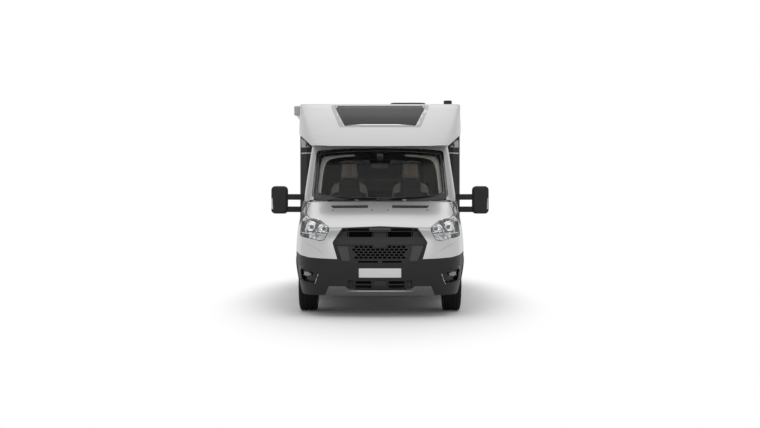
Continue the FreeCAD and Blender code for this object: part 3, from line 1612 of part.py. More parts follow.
def build_house():
    """The living body: floor, walls, roof, doors, windows and fittings."""
    inside = half_width - S.wall_thick
    floor_high = S.floor_bottom + S.floor_thick
    box_front = at(rear_axle_station - S.wheel_box_half_length)
    box_rear = at(rear_axle_station + S.wheel_box_half_length)
    box_in = S.wheel_box_inner
    plan = [
        (-inside, at(wall_front_station), 0),
        (inside, at(wall_front_station), 0),
        (inside, box_front, 0),
        (box_in, box_front, 0),
        (box_in, box_rear, 0),
        (inside, box_rear, 0),
        (inside, at(rear_wall_station), 0),
        (-inside, at(rear_wall_station), 0),
        (-inside, box_rear, 0),
        (-box_in, box_rear, 0),
        (-box_in, box_front, 0),
        (-inside, box_front, 0),
    ]
    floor = prism([(x, y, 0) for x, y, _ in plan], "XY", S.floor_bottom, floor_high)
    boxes = []
    t = S.wheel_box_wall
    for sign in (-1, 1):
        x0, x1 = sorted((sign * (box_in - t), sign * (inside - S.seam)))
        outer = Part.makeBox(
            x1 - x0, box_rear - box_front + 2 * t, S.wheel_box_height - S.floor_bottom,
            Vector(x0, box_front - t, S.floor_bottom),
        )
        i0, i1 = sorted((sign * box_in, sign * (inside + S.overrun)))
        hollow = Part.makeBox(
            i1 - i0, box_rear - box_front, S.wheel_box_height - t - S.floor_bottom + S.overrun,
            Vector(i0, box_front, S.floor_bottom - S.overrun),
        )
        boxes.append(outer.cut(hollow))
    shape_part("house_floor", fused([floor] + boxes))

    left_holes = ["dinette_window", "bed_window", "garage_door"]
    right_holes = ["entry_door", "kitchen_window", "bed_window", "garage_door"]
    for name, holes, sign in (("left", left_holes, 1), ("right", right_holes, -1)):
        offset = WALL_OFFSETS[name]
        body = new_body(f"wall_{name}")
        add_pad(body, "YZ", offset, [yz(wall_outline(name))], "sizes.wall_thick")
        cuts = []
        for hole in holes:
            gap = S.door_gap if "door" in hole else S.pane_seam
            cuts.append(yz(grown(opening(hole), gap)))
        add_pad(body, "YZ", offset, cuts, "sizes.wall_thick", "PartDesign::Pocket")
        for hole in holes:
            if "door" in hole:
                for low in hinge_levels(hole):
                    pin = [ring(sign * half_width, at(opening_station(hole, "front")), S.hinge_radius)]
                    add_pad(body, "XY", str(low), pin, "sizes.hinge_length")

    rear = new_body("wall_rear")
    rear_window = box_corners(
        -S.rear_window_half, S.roof_height - S.rear_window_low_drop,
        S.rear_window_half, S.roof_height - S.rear_window_high_drop, S.opening_radius,
    )
    add_pad(
        rear, "XZ", st(f"{REAR_WALL} + sizes.seam"),
        [box_corners(
            -half_width, S.wall_bottom, half_width, S.roof_height - S.roof_thick,
            S.rear_corner_radius,
        )],
        "sizes.rear_wall_thick",
    )
    add_pad(
        rear, "XZ", st(f"{REAR_WALL} + sizes.seam"),
        [rear_window],
        "sizes.rear_wall_thick", "PartDesign::Pocket",
    )

    roof = new_body("house_roof")
    e = S.roof_edge_radius
    section = [
        (-half_width, S.roof_height - S.roof_thick + S.seam, 0),
        (half_width, S.roof_height - S.roof_thick + S.seam, 0),
        (half_width, S.roof_height, e),
        (-half_width, S.roof_height, e),
    ]
    add_pad(
        roof, "XZ", st(f"{CAB_REAR} + sizes.seam"), [section],
        f"{REAR_WALL} + sizes.rear_wall_thick - {CAB_REAR}",
    )
    hatches = [grown(h, 0) for h in hatch_openings()]
    add_pad(
        roof, "XY", "sizes.roof_height - sizes.roof_thick", hatches, "sizes.roof_thick * 2",
        "PartDesign::Pocket",
    )

    panes = []
    for name, sign in (
        ("dinette_window", 1), ("bed_window", 1), ("kitchen_window", -1), ("bed_window", -1),
    ):
        outer = half_width - S.pane_set
        x0, x1 = sorted((sign * outer, sign * (outer - S.pane_thick)))
        panes.append(prism(yz(opening(name)), "YZ", x0, x1))
    pane_start = at(rear_wall_station + S.pane_set)
    panes.append(
        prism(grown(rear_window, -S.pane_seam), "XZ", pane_start, pane_start + S.pane_thick)
    )
    shape_part("house_windows", together(panes))

    for name, sign in (("left", 1), ("right", -1)):
        door = pad_body(
            f"garage_door_{name}", "YZ", WALL_OFFSETS[name], [yz(opening("garage_door"))],
            "sizes.wall_thick",
        )
        cut_hinges(door, "garage_door", sign)
    door = new_body("entry_door")
    add_pad(door, "YZ", WALL_OFFSETS["right"], [yz(opening("entry_door"))], "sizes.wall_thick")
    add_pad(
        door, "YZ", WALL_OFFSETS["right"], [yz(grown(opening("entry_pane"), S.pane_seam))],
        "sizes.wall_thick", "PartDesign::Pocket",
    )
    cut_hinges(door, "entry_door", -1)
    pad_body(
        "entry_door_pane", "YZ", "-sizes.body_width / 2 + sizes.pane_set",
        [yz(opening("entry_pane"))], "sizes.pane_thick",
    )

    # shoulders that close the step between the cab and the wider living body
    lap_edge = cab_side(S.cowl_height) - S.shoulder_lap
    step_edge = S.cab_half_width + S.door_gap
    seal = at(rear_seal_station)
    wall_front = at(wall_front_station) - S.seam
    inner_edge = half_width - S.front_panel_thick
    plan = [
        (lap_edge, seal, 0),
        (step_edge, seal, 0),
        (half_width, seal + S.shoulder_sweep, S.shoulder_bend),
        (half_width, wall_front, 0),
        (inner_edge, wall_front, 0),
        (inner_edge, seal + S.shoulder_sweep, S.shoulder_bend - S.front_panel_thick),
        (step_edge, seal + S.front_panel_thick, 0),
        (lap_edge, seal + S.front_panel_thick, 0),
    ]
    below_cap = [
        (lap_edge - S.shoulder_lap, S.wall_bottom, 0),
        (half_width + S.overrun, S.wall_bottom, 0),
        (half_width + S.overrun, cap_outline[4][1] - S.seam, 0),
        (cap_outline[2][0], cap_outline[2][1] - S.seam, 0),
    ]
    column = prism(plan, "XY", S.wall_bottom, S.roof_height)
    sides = []
    cab_flank = side_slab(
        -S.seam, S.pillar_thick + S.seam, S.wall_bottom - S.overrun, S.cab_top,
        S.nose_length, cab_rear_station + S.overrun,
    )[0]
    piece = column.common(front_prism(below_cap)).cut(cab_flank)
    piece = max(piece.Solids, key=lambda solid: solid.Volume)
    sides = [piece, piece.mirror(Vector(0, 0, 0), Vector(1, 0, 0))]
    shape_part("body_shoulders", together(sides))

    skirts = []
    skirt_outer = half_width - S.skirt_inset
    for sign in (1, -1):
        x0, x1 = sorted((sign * skirt_outer, sign * (skirt_outer - S.skirt_thick)))
        for u0, u1 in (
            (rear_seal_station, rear_axle_station - S.arch_radius),
            (rear_axle_station + S.arch_radius, rear_wall_station - S.rear_bumper_inset - S.seam),
        ):
            skirts.append(
                prism(
                    yz(box_corners(u0, S.skirt_bottom, u1, S.wall_bottom - S.seam, S.seam)),
                    "YZ", x0, x1,
                )
            )
    shape_part("house_skirts", together(skirts))

    bumper = new_body("rear_bumper")
    add_pad(
        bumper, "XZ", st(f"{REAR_WALL} - sizes.rear_bumper_inset"),
        [box_corners(
            -skirt_outer, S.skirt_bottom, skirt_outer, S.wall_bottom - S.seam,
            S.rear_corner_radius,
        )],
        "sizes.rear_bumper_reach + sizes.rear_bumper_inset",
    )
    lamps = []
    for sign in (1, -1):
        x0, x1 = sorted((sign * S.tail_lamp_inner, sign * S.tail_lamp_outer))
        lamps.append(
            prism(
                box_corners(x0, S.tail_lamp_low, x1, S.tail_lamp_high, S.opening_radius),
                "XZ", at(rear_wall_station + S.rear_wall_thick + 2 * S.seam),
                at(rear_wall_station + S.rear_wall_thick + S.tail_lamp_depth),
            )
        )
    shape_part("tail_lamps", together(lamps))

    awning_high = S.roof_height - S.awning_drop
    pad_body(
        "awning", "XZ", st(f"{WALL_FRONT} + sizes.awning_front"),
        [[
            (-half_width - S.seam, awning_high - S.awning_height, 0),
            (-half_width - S.seam, awning_high, 0),
            (-half_width - S.awning_depth, awning_high, S.awning_radius),
            (-half_width - S.awning_depth, awning_high - S.awning_height, S.awning_radius),
        ]],
        f"{REAR_AXLE} + sizes.awning_rear - {WALL_FRONT} - sizes.awning_front",
    )

    # roof hatches: a frame on the roof and a lid hinged at its rear edge
    frames = []
    lids = []
    for hatch in hatch_openings():
        frame_top = S.roof_height + S.hatch_frame_height
        outer = prism(grown(hatch, S.hatch_flange), "XY", S.roof_height + S.seam, frame_top)
        way = grown(hatch, -S.hatch_lip)
        inner = prism(way, "XY", S.roof_height - S.overrun, frame_top + S.overrun)
        frames.append(outer.cut(inner))
        low = frame_top + S.hatch_gap
        lid = prism(grown(hatch, S.hatch_flange - S.seam), "XY", low, low + S.hatch_lid_height)
        lid_top = low + S.hatch_lid_height
        rim = [edge for edge in lid.Edges if edge.BoundBox.ZMin > lid_top - S.seam]
        lids.append(lid.makeFillet(S.hatch_lid_crown, rim))
    cap_foot = Vector(
        S.roof_cap_offset, at(wall_front_station + S.roof_cap_setback), S.roof_height + S.seam
    )
    cap = Part.makeCylinder(S.roof_cap_radius, S.roof_cap_height, cap_foot)
    shape_part("roof_fittings", together(frames + [cap]))
    shape_part("hatch_lid_front", together([lids[0]]))
    shape_part("hatch_lid_rear", together([lids[1]]))

    # bed over the garage, carried by a bulkhead
    bulkhead_station = rear_axle_station + S.garage_bulkhead_setback
    deck = Part.makeBox(
        2 * (inside - S.seam), rear_wall_station - bulkhead_station - 2 * S.seam,
        S.bed_deck_thick,
        Vector(-inside + S.seam, at(bulkhead_station), S.bed_height),
    )
    bulkhead = Part.makeBox(
        2 * inside - 2 * S.seam, S.bed_deck_thick, S.bed_height - floor_high - S.seam + S.bed_deck_thick,
        Vector(-inside + S.seam, at(bulkhead_station), floor_high + S.seam),
    )
    shape_part("bed_platform", fused([deck, bulkhead]))


def hatch_openings():
    """The two roof hatch openings as plan outlines."""
    return [
        box_corners(
            S.front_hatch_inner, at(wall_front_station + S.front_hatch_setback),
            S.front_hatch_inner + S.front_hatch_width,
            at(wall_front_station + S.front_hatch_setback) + S.front_hatch_length, S.opening_radius,
        ),
        box_corners(
            -S.rear_hatch_size / 2, at(rear_axle_station + S.rear_hatch_setback),
            S.rear_hatch_size / 2, at(rear_axle_station + S.rear_hatch_setback) + S.rear_hatch_size,
            S.opening_radius,
        ),
    ]


def build_cab_inside():
    """Cab floor, inner arches, dashboard with its column, steering wheel and seats."""
    wall_station = door_front_station - S.firewall_setback
    floor = Part.makeBox(
        2 * S.cab_floor_half, cab_rear_station - wall_station, S.cab_floor_thick,
        Vector(-S.cab_floor_half, at(wall_station), S.cab_floor_height),
    )
    wall = Part.makeBox(
        2 * S.firewall_half, S.cab_floor_thick, S.firewall_top - S.cab_floor_height,
        Vector(-S.firewall_half, at(wall_station), S.cab_floor_height),
    )
    shape_part("cab_floor", fused([floor, wall]))

    arches = []
    arch_reach = S.cab_half_width - S.panel_thick - S.inner_arch_gap
    nose_inside = bowl(inset_rows(nose_rows(), S.panel_thick + S.inner_arch_gap))
    below = Part.makeBox(
        2 * half_width, 2 * S.nose_length, S.arch_height,
        Vector(-half_width, front_axle - S.nose_length, 0),
    )
    for sign in (1, -1):
        x0, x1 = sorted((sign * S.inner_arch_inner, sign * arch_reach))
        radius = S.arch_radius + S.inner_arch_thick
        outer = axle_cylinder(front_axle, S.arch_height, radius, x0, x1)
        hollow = axle_cylinder(
            front_axle, S.arch_height, S.arch_radius, x0 - S.overrun, x1 + S.overrun
        )
        arches.append(outer.cut(hollow).cut(below).common(nose_inside))
    shape_part("wheel_arch_liners", together(arches))

    dash_front = S.nose_length + S.dash_front_setback
    dash_rear = S.nose_length + S.dash_rear_setback
    behind_wall = wall_station + S.cab_floor_thick + S.seam
    section = [
        (at(dash_front), S.dash_front_height, 0),
        (at(dash_front), S.dash_front_height - S.dash_lip, 0),
        (at(behind_wall), S.firewall_top + S.seam, 0),
        (at(behind_wall), S.dash_bottom, S.dash_radius),
        (at(dash_rear), S.dash_bottom, S.dash_radius),
        (at(dash_rear + S.dash_lip), S.dash_top - S.dash_lip, S.dash_radius),
        (at(dash_rear - S.dash_lip), S.dash_top, S.dash_radius),
    ]
    board = prism(section, "YZ", -S.dash_half_width, S.dash_half_width)

    # the steering wheel stands on its column, which leaves the dashboard along the same axis
    tilt = math.radians(S.steering_tilt)
    axis = Vector(0, math.cos(tilt), math.sin(tilt))
    centre = Vector(S.seat_offset, at(S.nose_length + S.steering_setback), S.steering_height)
    hub_foot = centre - axis * S.steering_hub_depth
    spoke_foot = centre - axis * (S.steering_hub_depth / 2)
    hoop = Part.makeTorus(S.steering_radius, S.steering_tube, centre, axis)
    hub = Part.makeCylinder(S.steering_hub, S.steering_hub_depth, hub_foot, axis)
    down = Vector(0, math.sin(tilt), -math.cos(tilt))
    spokes = []
    for outwards in (Vector(1, 0, 0), Vector(-1, 0, 0), down):
        along = centre + outwards * S.steering_radius - spoke_foot
        spokes.append(Part.makeCylinder(S.steering_spoke, S.steering_radius, spoke_foot, along))
    shape_part("steering_wheel", fused([hoop, hub] + spokes))
    column = Part.makeCylinder(
        S.steering_tube, S.column_length, hub_foot - axis * S.column_gap, axis * -1
    )
    shape_part("dashboard", fused([board, column]))

    frames = []
    cushions = []
    for sign in (1, -1):
        frames.append(seat_frame(sign * S.seat_offset))
        cushions += seat_cushions(sign * S.seat_offset)
    shape_part("seat_frames", together(frames))
    shape_part("seat_cushions", together(cushions))


def seat_frame(x):
    """A seat's pedestal, pan and back shell."""
    y = at(S.nose_length + S.seat_setback)
    floor = S.cab_floor_height + S.cab_floor_thick + S.seam
    base = Part.makeBox(
        2 * S.seat_base_half, S.seat_base_depth, S.seat_height - floor,
        Vector(x - S.seat_base_half, y + S.seat_base_setback, floor),
    )
    pan_low = S.seat_height - S.seat_pan_thick
    pan = Part.makeBox(
        2 * S.seat_pan_half, S.seat_shell_rear, S.seat_pan_thick,
        Vector(x - S.seat_pan_half, y, pan_low),
    )
    top_rear = y + S.seat_shell_rear + S.back_lean
    shell_top = S.seat_height + S.seat_shell_height
    shell = [
        (y + S.seat_shell_front, pan_low, 0),
        (y + S.seat_shell_rear, pan_low, 0),
        (top_rear, shell_top, 0),
        (top_rear - S.seat_pan_thick, shell_top, 0),
    ]
    back = prism(shell, "YZ", x - S.seat_base_half, x + S.seat_base_half)
    return fused([base, pan, back])


def seat_cushions(x):
    """A seat's squab, its leaning back cushion and the headrest."""
    y = at(S.nose_length + S.seat_setback)
    half = S.seat_width / 2
    squab_top = S.seat_height + S.squab_thick
    back_top = S.seat_height + S.back_height
    squab = prism(
        box_corners(x - half, y, x + half, y + S.seat_cushion_depth, S.cushion_radius),
        "XY", S.seat_height + S.seam, squab_top,
    )
    back = prism(
        box_corners(x - half, squab_top - S.back_drop, x + half, back_top, S.cushion_radius),
        "XZ", y + S.seat_cushion_depth - S.back_thick, y + S.seat_cushion_depth,
    )
    head = prism(
        box_corners(
            x - S.headrest_half, back_top + S.headrest_gap,
            x + S.headrest_half, S.headrest_top, S.cushion_radius,
        ),
        "XZ", y + S.seat_cushion_depth - S.headrest_thick, y + S.seat_cushion_depth,
    )
    pivot = Vector(x, y + S.seat_cushion_depth, S.seat_height)
    lean = math.degrees(math.atan2(S.back_lean, S.seat_shell_height))
    for cushion in (back, head):
        cushion.rotate(pivot, Vector(1, 0, 0), -lean)
    return [squab, back, head]


# The grille's bars and openings, as shares of the cab's half width and the cowl height
UPPER_SLOT_SHARES = [
    (0.092, 0.6860, 0.006),
    (0.361, 0.6860, 0.010),
    (0.361, 0.7280, 0.020),
    (0.092, 0.7280, 0.006),
]
TOP_BAR_SHARES = [
    (0.0, 0.7640, 0.0),
    (0.128, 0.7640, 0.004),
    (0.134, 0.7590, 0.004),
    (0.400, 0.7560, 0.010),
    (0.378, 0.7320, 0.010),
    (0.0, 0.7320, 0.0),
]
WIDE_BAR_SHARES = [
    (0.0, 0.6790, 0.0),
    (0.545, 0.6790, 0.0),
    (0.545, 0.6220, 0.0),
    (0.0, 0.6220, 0.0),
]
BAR_TAB_SHARES = [
    (0.0, 0.6240, 0.0),
    (0.080, 0.6240, 0.0),
    (0.074, 0.5960, 0.008),
    (0.0, 0.5960, 0.0),
]
MESH_SHARES = [
    (0.0, 0.6160, 0.0),
    (0.350, 0.6160, 0.010),
    (0.312, 0.4970, 0.010),
    (0.0, 0.4970, 0.0),
]
LOWER_FRAME_SHARES = [
    (0.0, 0.4940, 0.0),
    (0.300, 0.4940, 0.010),
    (0.350, 0.4740, 0.0),
    (0.300, 0.4600, 0.010),
    (0.0, 0.4600, 0.0),
]
LOWER_SLOT_SHARES = [
    (0.022, 0.4680, 0.006),
    (0.250, 0.4680, 0.006),
    (0.250, 0.4840, 0.006),
    (0.022, 0.4840, 0.006),
]
INTAKE_UPPER_SLOT_SHARES = [
    (0.100, 0.2880, 0.006),
    (0.280, 0.2880, 0.006),
    (0.280, 0.3120, 0.006),
    (0.100, 0.3120, 0.006),
]
INTAKE_LOWER_SLOT_SHARES = [
    (0.100, 0.2480, 0.006),
    (0.280, 0.2480, 0.006),
    (0.280, 0.2760, 0.006),
    (0.100, 0.2760, 0.006),
]
SENSOR_SHARES = [
    (0.0, 0.3180, 0.0),
    (0.086, 0.3180, 0.010),
    (0.080, 0.2420, 0.010),
    (0.0, 0.2420, 0.0),
]


def both_prisms(shares):
    """Front-view prisms on an outline of one side and on its mirror image."""
    outline = front_points(shares)
    return [front_prism(outline), front_prism(mirrored(outline))]


# a hexagon with points at its sides, as shares of its width and height
HEXAGON_SHARES = [
    (-0.50, 0.0),
    (-0.30, -0.5),
    (0.30, -0.5),
    (0.50, 0.0),
    (0.30, 0.5),
    (-0.30, 0.5),
]


def mesh_cells(outline):
    """Flat hexagons in staggered rows that lie wholly inside a four-sided outline."""
    cells = []
    width, height = S.mesh_cell_width, S.mesh_cell_height
    top, bottom = outline[0][1], outline[3][1]
    wide, narrow = outline[1][0], outline[2][0]
    pitch = width + S.mesh_web
    rise = height + S.mesh_web
    count = int((top - bottom - S.mesh_web) / rise)
    first = (top + bottom - (count - 1) * rise) / 2
    for row in range(count):
        z = first + row * rise
        reach = narrow + (wide - narrow) * (z - height / 2 - bottom) / (top - bottom)
        shift = pitch / 2 if row % 2 else 0
        across = int((reach - shift - width / 2) / pitch)
        for column in range(-across - (1 if shift else 0), across + 1):
            x = column * pitch + shift
            cell = []
            for du, dv in HEXAGON_SHARES:
                cell.append((x + width * du, z + height * dv, 0))
            cells.append(front_prism(cell, high_station=S.nose_length))
    return cells


def build_grille():
    """Grille with its bars, slots and mesh, and the lower intake with its sensor."""
    rows = nose_rows()
    field = front_prism(grille_outline, high_station=S.nose_length)
    inner = front_prism(grown(grille_outline, -S.grille_rim), high_station=S.nose_length)
    plate = skin_between(rows, S.grille_set + S.grille_recess, S.grille_depth, field)
    proud = skin_between(rows, S.grille_set, S.grille_depth, field)
    bars = [proud.cut(inner)]
    for shares in (TOP_BAR_SHARES, WIDE_BAR_SHARES, BAR_TAB_SHARES, LOWER_FRAME_SHARES):
        bars.append(proud.common(front_prism(both_sides(front_points(shares)))))
    mesh_outline = both_sides(front_points(MESH_SHARES))
    frame = fused([plate] + bars)
    ways = both_prisms(UPPER_SLOT_SHARES) + both_prisms(LOWER_SLOT_SHARES)
    tab = front_prism(both_sides(front_points(BAR_TAB_SHARES)))
    ways.append(front_prism(mesh_outline).cut(tab))
    for way in ways:
        frame = frame.cut(way)
    mesh_field = front_prism(grown(mesh_outline, -S.seam), high_station=S.nose_length)
    mesh = skin_between(rows, S.mesh_set, S.mesh_set + S.mesh_thick, mesh_field)
    mesh = mesh.cut(mesh_cells(front_points(MESH_SHARES)))

    intake = front_prism(intake_outline, high_station=S.nose_length)
    eye_clear = S.tow_socket_radius * S.intake_clear_share
    inner_reach = S.tow_socket_offset - eye_clear
    outer_reach = S.tow_socket_offset + eye_clear
    middle = front_prism(box_corners(-inner_reach, S.nose_bottom, inner_reach, S.cowl_height))
    gate = front_prism(box_corners(-outer_reach, S.nose_bottom, outer_reach, S.cowl_height))
    recessed = S.intake_set + S.intake_recess
    grid = skin_between(rows, recessed, S.intake_depth, intake.common(middle))
    for way in both_prisms(INTAKE_UPPER_SLOT_SHARES) + both_prisms(INTAKE_LOWER_SLOT_SHARES):
        grid = grid.cut(way)
    sensor = skin_between(
        rows, S.intake_set, S.intake_depth, front_prism(both_sides(front_points(SENSOR_SHARES)))
    )
    ends = skin_between(rows, S.intake_set, S.intake_depth, intake.cut(gate))
    shape_part("grille", together([frame, mesh, fused([grid, sensor]), ends]))


build_chassis()
build_house()
build_cab_inside()
build_grille()

doc.recompute()
for feature in doc.Objects:
    if "Invalid" in feature.State or "Error" in feature.State:
        raise RuntimeError(f"{feature.Name}: {feature.State}")
for piece in PARTS:
    if piece.Shape.isNull() or not piece.Shape.isValid():
        raise RuntimeError(f"{piece.Label}: bad shape")
os.makedirs("parts", exist_ok=True)
for piece in PARTS:
    piece.Shape.exportStep(os.path.join("parts", piece.Label + ".step"))
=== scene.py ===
import json
import math

import bmesh
import bpy
from mathutils import Matrix, Vector
from mathutils.bvhtree import BVHTree
from mathutils.geometry import delaunay_2d_cdt

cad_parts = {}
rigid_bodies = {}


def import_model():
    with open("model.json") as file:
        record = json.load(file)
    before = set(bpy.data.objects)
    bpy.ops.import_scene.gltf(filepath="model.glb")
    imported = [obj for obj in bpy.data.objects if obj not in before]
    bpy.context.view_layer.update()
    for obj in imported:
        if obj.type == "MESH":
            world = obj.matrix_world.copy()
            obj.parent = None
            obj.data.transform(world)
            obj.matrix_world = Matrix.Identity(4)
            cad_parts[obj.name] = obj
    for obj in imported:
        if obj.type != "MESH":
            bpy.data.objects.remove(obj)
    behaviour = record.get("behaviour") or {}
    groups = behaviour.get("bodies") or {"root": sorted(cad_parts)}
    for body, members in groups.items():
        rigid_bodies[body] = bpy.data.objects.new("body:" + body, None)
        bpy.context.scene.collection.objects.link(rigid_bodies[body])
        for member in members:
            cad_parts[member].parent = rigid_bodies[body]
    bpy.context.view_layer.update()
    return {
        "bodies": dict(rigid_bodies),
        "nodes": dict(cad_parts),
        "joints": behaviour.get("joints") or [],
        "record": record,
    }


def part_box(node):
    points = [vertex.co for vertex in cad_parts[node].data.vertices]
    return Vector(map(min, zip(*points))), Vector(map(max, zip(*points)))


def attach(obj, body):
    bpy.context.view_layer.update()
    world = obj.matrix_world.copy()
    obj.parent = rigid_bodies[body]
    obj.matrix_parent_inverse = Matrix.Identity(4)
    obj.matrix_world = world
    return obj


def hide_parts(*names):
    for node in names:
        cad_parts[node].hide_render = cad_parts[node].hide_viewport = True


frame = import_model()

# The motorhome's looks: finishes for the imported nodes, fittings cast onto them, padded seats,
# treaded tyres and the room, in a white studio seen by the photograph's camera. Metres throughout.

NODES = frame["nodes"]
X, Y, Z = Vector((1, 0, 0)), Vector((0, 1, 0)), Vector((0, 0, 1))


# Materials

# the part of a noise's range that holds nearly all its values
NOISE_SPAN = 0.3, 0.7
COAT_ROUGHNESS = 0.05
GRAIN_STRENGTH, WEAVE_STRENGTH = 0.6, 0.7


def node_tree(name):
    """A new material, its tree and its shader."""
    made = bpy.data.materials.new(name)
    made.use_nodes = True
    return made, made.node_tree, made.node_tree.nodes["Principled BSDF"]


def add(tree, kind, **values):
    """A shader node with its inputs or settings filled in."""
    node = tree.nodes.new("ShaderNode" + kind)
    for key, value in values.items():
        if key in node.inputs:
            node.inputs[key].default_value = value
        else:
            setattr(node, key.lower(), value)
    return node


def set_span(node, from_low, from_high, to_low, to_high):
    """Fills in a Map Range node."""
    values = {"From Min": from_low, "From Max": from_high, "To Min": to_low, "To Max": to_high}
    for key, value in values.items():
        node.inputs[key].default_value = value


def mottled(tree, out, colour, spread, scale, stretch=(1, 1, 1)):
    """A colour that wanders by a small share, from noise in the object's own space."""
    place = add(tree, "TexCoord")
    shape = add(tree, "Mapping", Scale=stretch)
    noise = add(tree, "TexNoise", Scale=scale, Detail=4.0, Roughness=0.6)
    ramp = add(tree, "ValToRGB")
    dark = [c * (1 - spread) for c in colour] + [1]
    light = [min(1, c * (1 + spread)) for c in colour] + [1]
    for stop, place_on_ramp, shade in zip(ramp.color_ramp.elements, NOISE_SPAN, (dark, light)):
        stop.position, stop.color = place_on_ramp, shade
    tree.links.new(place.outputs["Object"], shape.inputs["Vector"])
    tree.links.new(shape.outputs["Vector"], noise.inputs["Vector"])
    tree.links.new(noise.outputs["Fac"], ramp.inputs["Fac"])
    tree.links.new(ramp.outputs["Color"], out)
    return noise.outputs["Fac"]


def worn_roughness(tree, shader, source, low, high):
    """Roughness that follows a noise between two values."""
    span = add(tree, "MapRange")
    set_span(span, *NOISE_SPAN, low, high)
    tree.links.new(source, span.inputs["Value"])
    tree.links.new(span.outputs["Result"], shader.inputs["Roughness"])


def maths(tree, operation, *values):
    """The result of a Math node on outputs or plain values."""
    node = add(tree, "Math", operation=operation)
    for held, value in zip(node.inputs, values):
        if isinstance(value, (int, float)):
            held.default_value = value
        else:
            tree.links.new(value, held)
    return node.outputs[0]


def bumped(tree, shader, height, strength, distance):
    """A bump of the given depth in metres."""
    bump = add(tree, "Bump", Strength=strength, Distance=distance)
    tree.links.new(height, bump.inputs["Height"])
    tree.links.new(bump.outputs["Normal"], shader.inputs["Normal"])


def finish(name, colour, rough=(0.4, 0.5), metallic=0.0, spread=0.04, scale=6.0, grain=None,
           stretch=(1, 1, 1), coat=0.0, alpha=1.0, ior=1.5, spec=0.5):
    """One procedural finish; grain is (kind, scale, depth in metres)."""
    made, tree, shader = node_tree(name)
    for key, value in (("Metallic", metallic), ("Coat Weight", coat), ("Coat Roughness", COAT_ROUGHNESS),
                       ("IOR", ior), ("Alpha", alpha), ("Specular IOR Level", spec)):
        shader.inputs[key].default_value = value
    noise = mottled(tree, shader.inputs["Base Color"], colour, spread, scale, stretch)
    worn_roughness(tree, shader, noise, *rough)
    if grain:
        kind, grain_scale, depth = grain
        place = add(tree, "TexCoord")
        if kind == "pebble":
            texture = add(tree, "TexVoronoi", Scale=grain_scale, Randomness=1.0)
            height = texture.outputs["Distance"]
        else:
            texture = add(tree, "TexNoise", Scale=grain_scale, Detail=3.0)
            height = texture.outputs["Fac"]
        squash = add(tree, "Mapping", Scale=stretch)
        tree.links.new(place.outputs["Object"], squash.inputs["Vector"])
        tree.links.new(squash.outputs["Vector"], texture.inputs["Vector"])
        bumped(tree, shader, height, GRAIN_STRENGTH, depth)
    return made


def woven(name, colour, thread=45.0):
    """Cloth: two crossed waves make the weave; thread is their scale."""
    depth, spread, mottle = 0.0006, 0.12, 25.0
    made, tree, shader = node_tree(name)
    shader.inputs["Sheen Weight"].default_value = 0.35
    shader.inputs["Sheen Roughness"].default_value = 0.5
    noise = mottled(tree, shader.inputs["Base Color"], colour, spread, mottle)
    worn_roughness(tree, shader, noise, 0.8, 0.95)
    place = add(tree, "TexCoord")
    waves = []
    for direction in ("X", "Z"):
        wave = add(tree, "TexWave", Scale=thread, Distortion=0.6, Detail=1.0)
        wave.bands_direction = direction
        tree.links.new(place.outputs["Object"], wave.inputs["Vector"])
        waves.append(wave.outputs["Fac"])
    bumped(tree, shader, maths(tree, "MULTIPLY", *waves), WEAVE_STRENGTH, depth)
    return made


def planked(name, colour):
    """Laminate boards: a brick pattern for the joints, stretched noise for the grain."""
    made, tree, shader = node_tree(name)
    place = add(tree, "TexCoord")
    brick = add(tree, "TexBrick", Scale=1.0)
    for key, value in (("Brick Width", 1.2), ("Row Height", 0.14), ("Mortar Size", 0.002)):
        brick.inputs[key].default_value = value
    for key, share in (("Color1", 1), ("Color2", 0.82), ("Mortar", 0.3)):
        brick.inputs[key].default_value = (*[c * share for c in colour], 1)
    turn = add(tree, "Mapping", Rotation=(0, 0, math.pi / 2))
    tree.links.new(place.outputs["Object"], turn.inputs["Vector"])
    tree.links.new(turn.outputs["Vector"], brick.inputs["Vector"])
    tree.links.new(brick.outputs["Color"], shader.inputs["Base Color"])
    shader.inputs["Roughness"].default_value = 0.45
    return made


SILVER = finish("silver_metallic", (0.50, 0.50, 0.505), (0.28, 0.32), 0.9, 0.012, 2.0, coat=0.25)
WHITE = finish("white_gelcoat", (0.70, 0.70, 0.705), (0.25, 0.31), 0.0, 0.008, 0.8, coat=0.15)
SHEET = finish("white_sheet", (0.72, 0.72, 0.725), (0.30, 0.36), 0.0, 0.008, 0.7, coat=0.15)
GRAINED = finish("grained_plastic", (0.016, 0.0165, 0.0175), (0.5, 0.62), 0.0, 0.12, 30.0,
    ("pebble", 700.0, 0.0002), spec=0.28)
BLACK = finish("black_plastic", (0.014, 0.014, 0.015), (0.32, 0.44), 0.0, 0.1, 20.0,
    ("noise", 400.0, 0.0001), spec=0.3)
PIANO = finish("black_gloss", (0.008, 0.008, 0.009), (0.1, 0.16), 0.0, 0.05, 8.0)
SATIN = finish("satin_silver", (0.13, 0.13, 0.135), (0.35, 0.45), 0.4, 0.04, 12.0, ("noise", 500.0, 0.00005))
CHROME = finish("chrome", (0.80, 0.81, 0.82), (0.05, 0.10), 1.0, 0.02, 5.0)
ALLOY = finish("anodised", (0.55, 0.55, 0.555), (0.34, 0.44), 0.8, 0.03, 30.0, ("noise", 300.0, 0.0001),
    stretch=(1, 0.05, 1))
LENS = finish("clear_lens", (0.86, 0.89, 0.91), (0.02, 0.05), 0.0, 0.01, 4.0, alpha=0.10)
TINTED = finish("tinted_glass", (0.012, 0.013, 0.013), (0.02, 0.04), 0.0, 0.03, 2.0, alpha=0.20, ior=1.40)
ACRYLIC = finish("smoked_acrylic", (0.012, 0.013, 0.014), (0.04, 0.08), 0.0, 0.05, 2.0, alpha=0.86, spec=0.22)
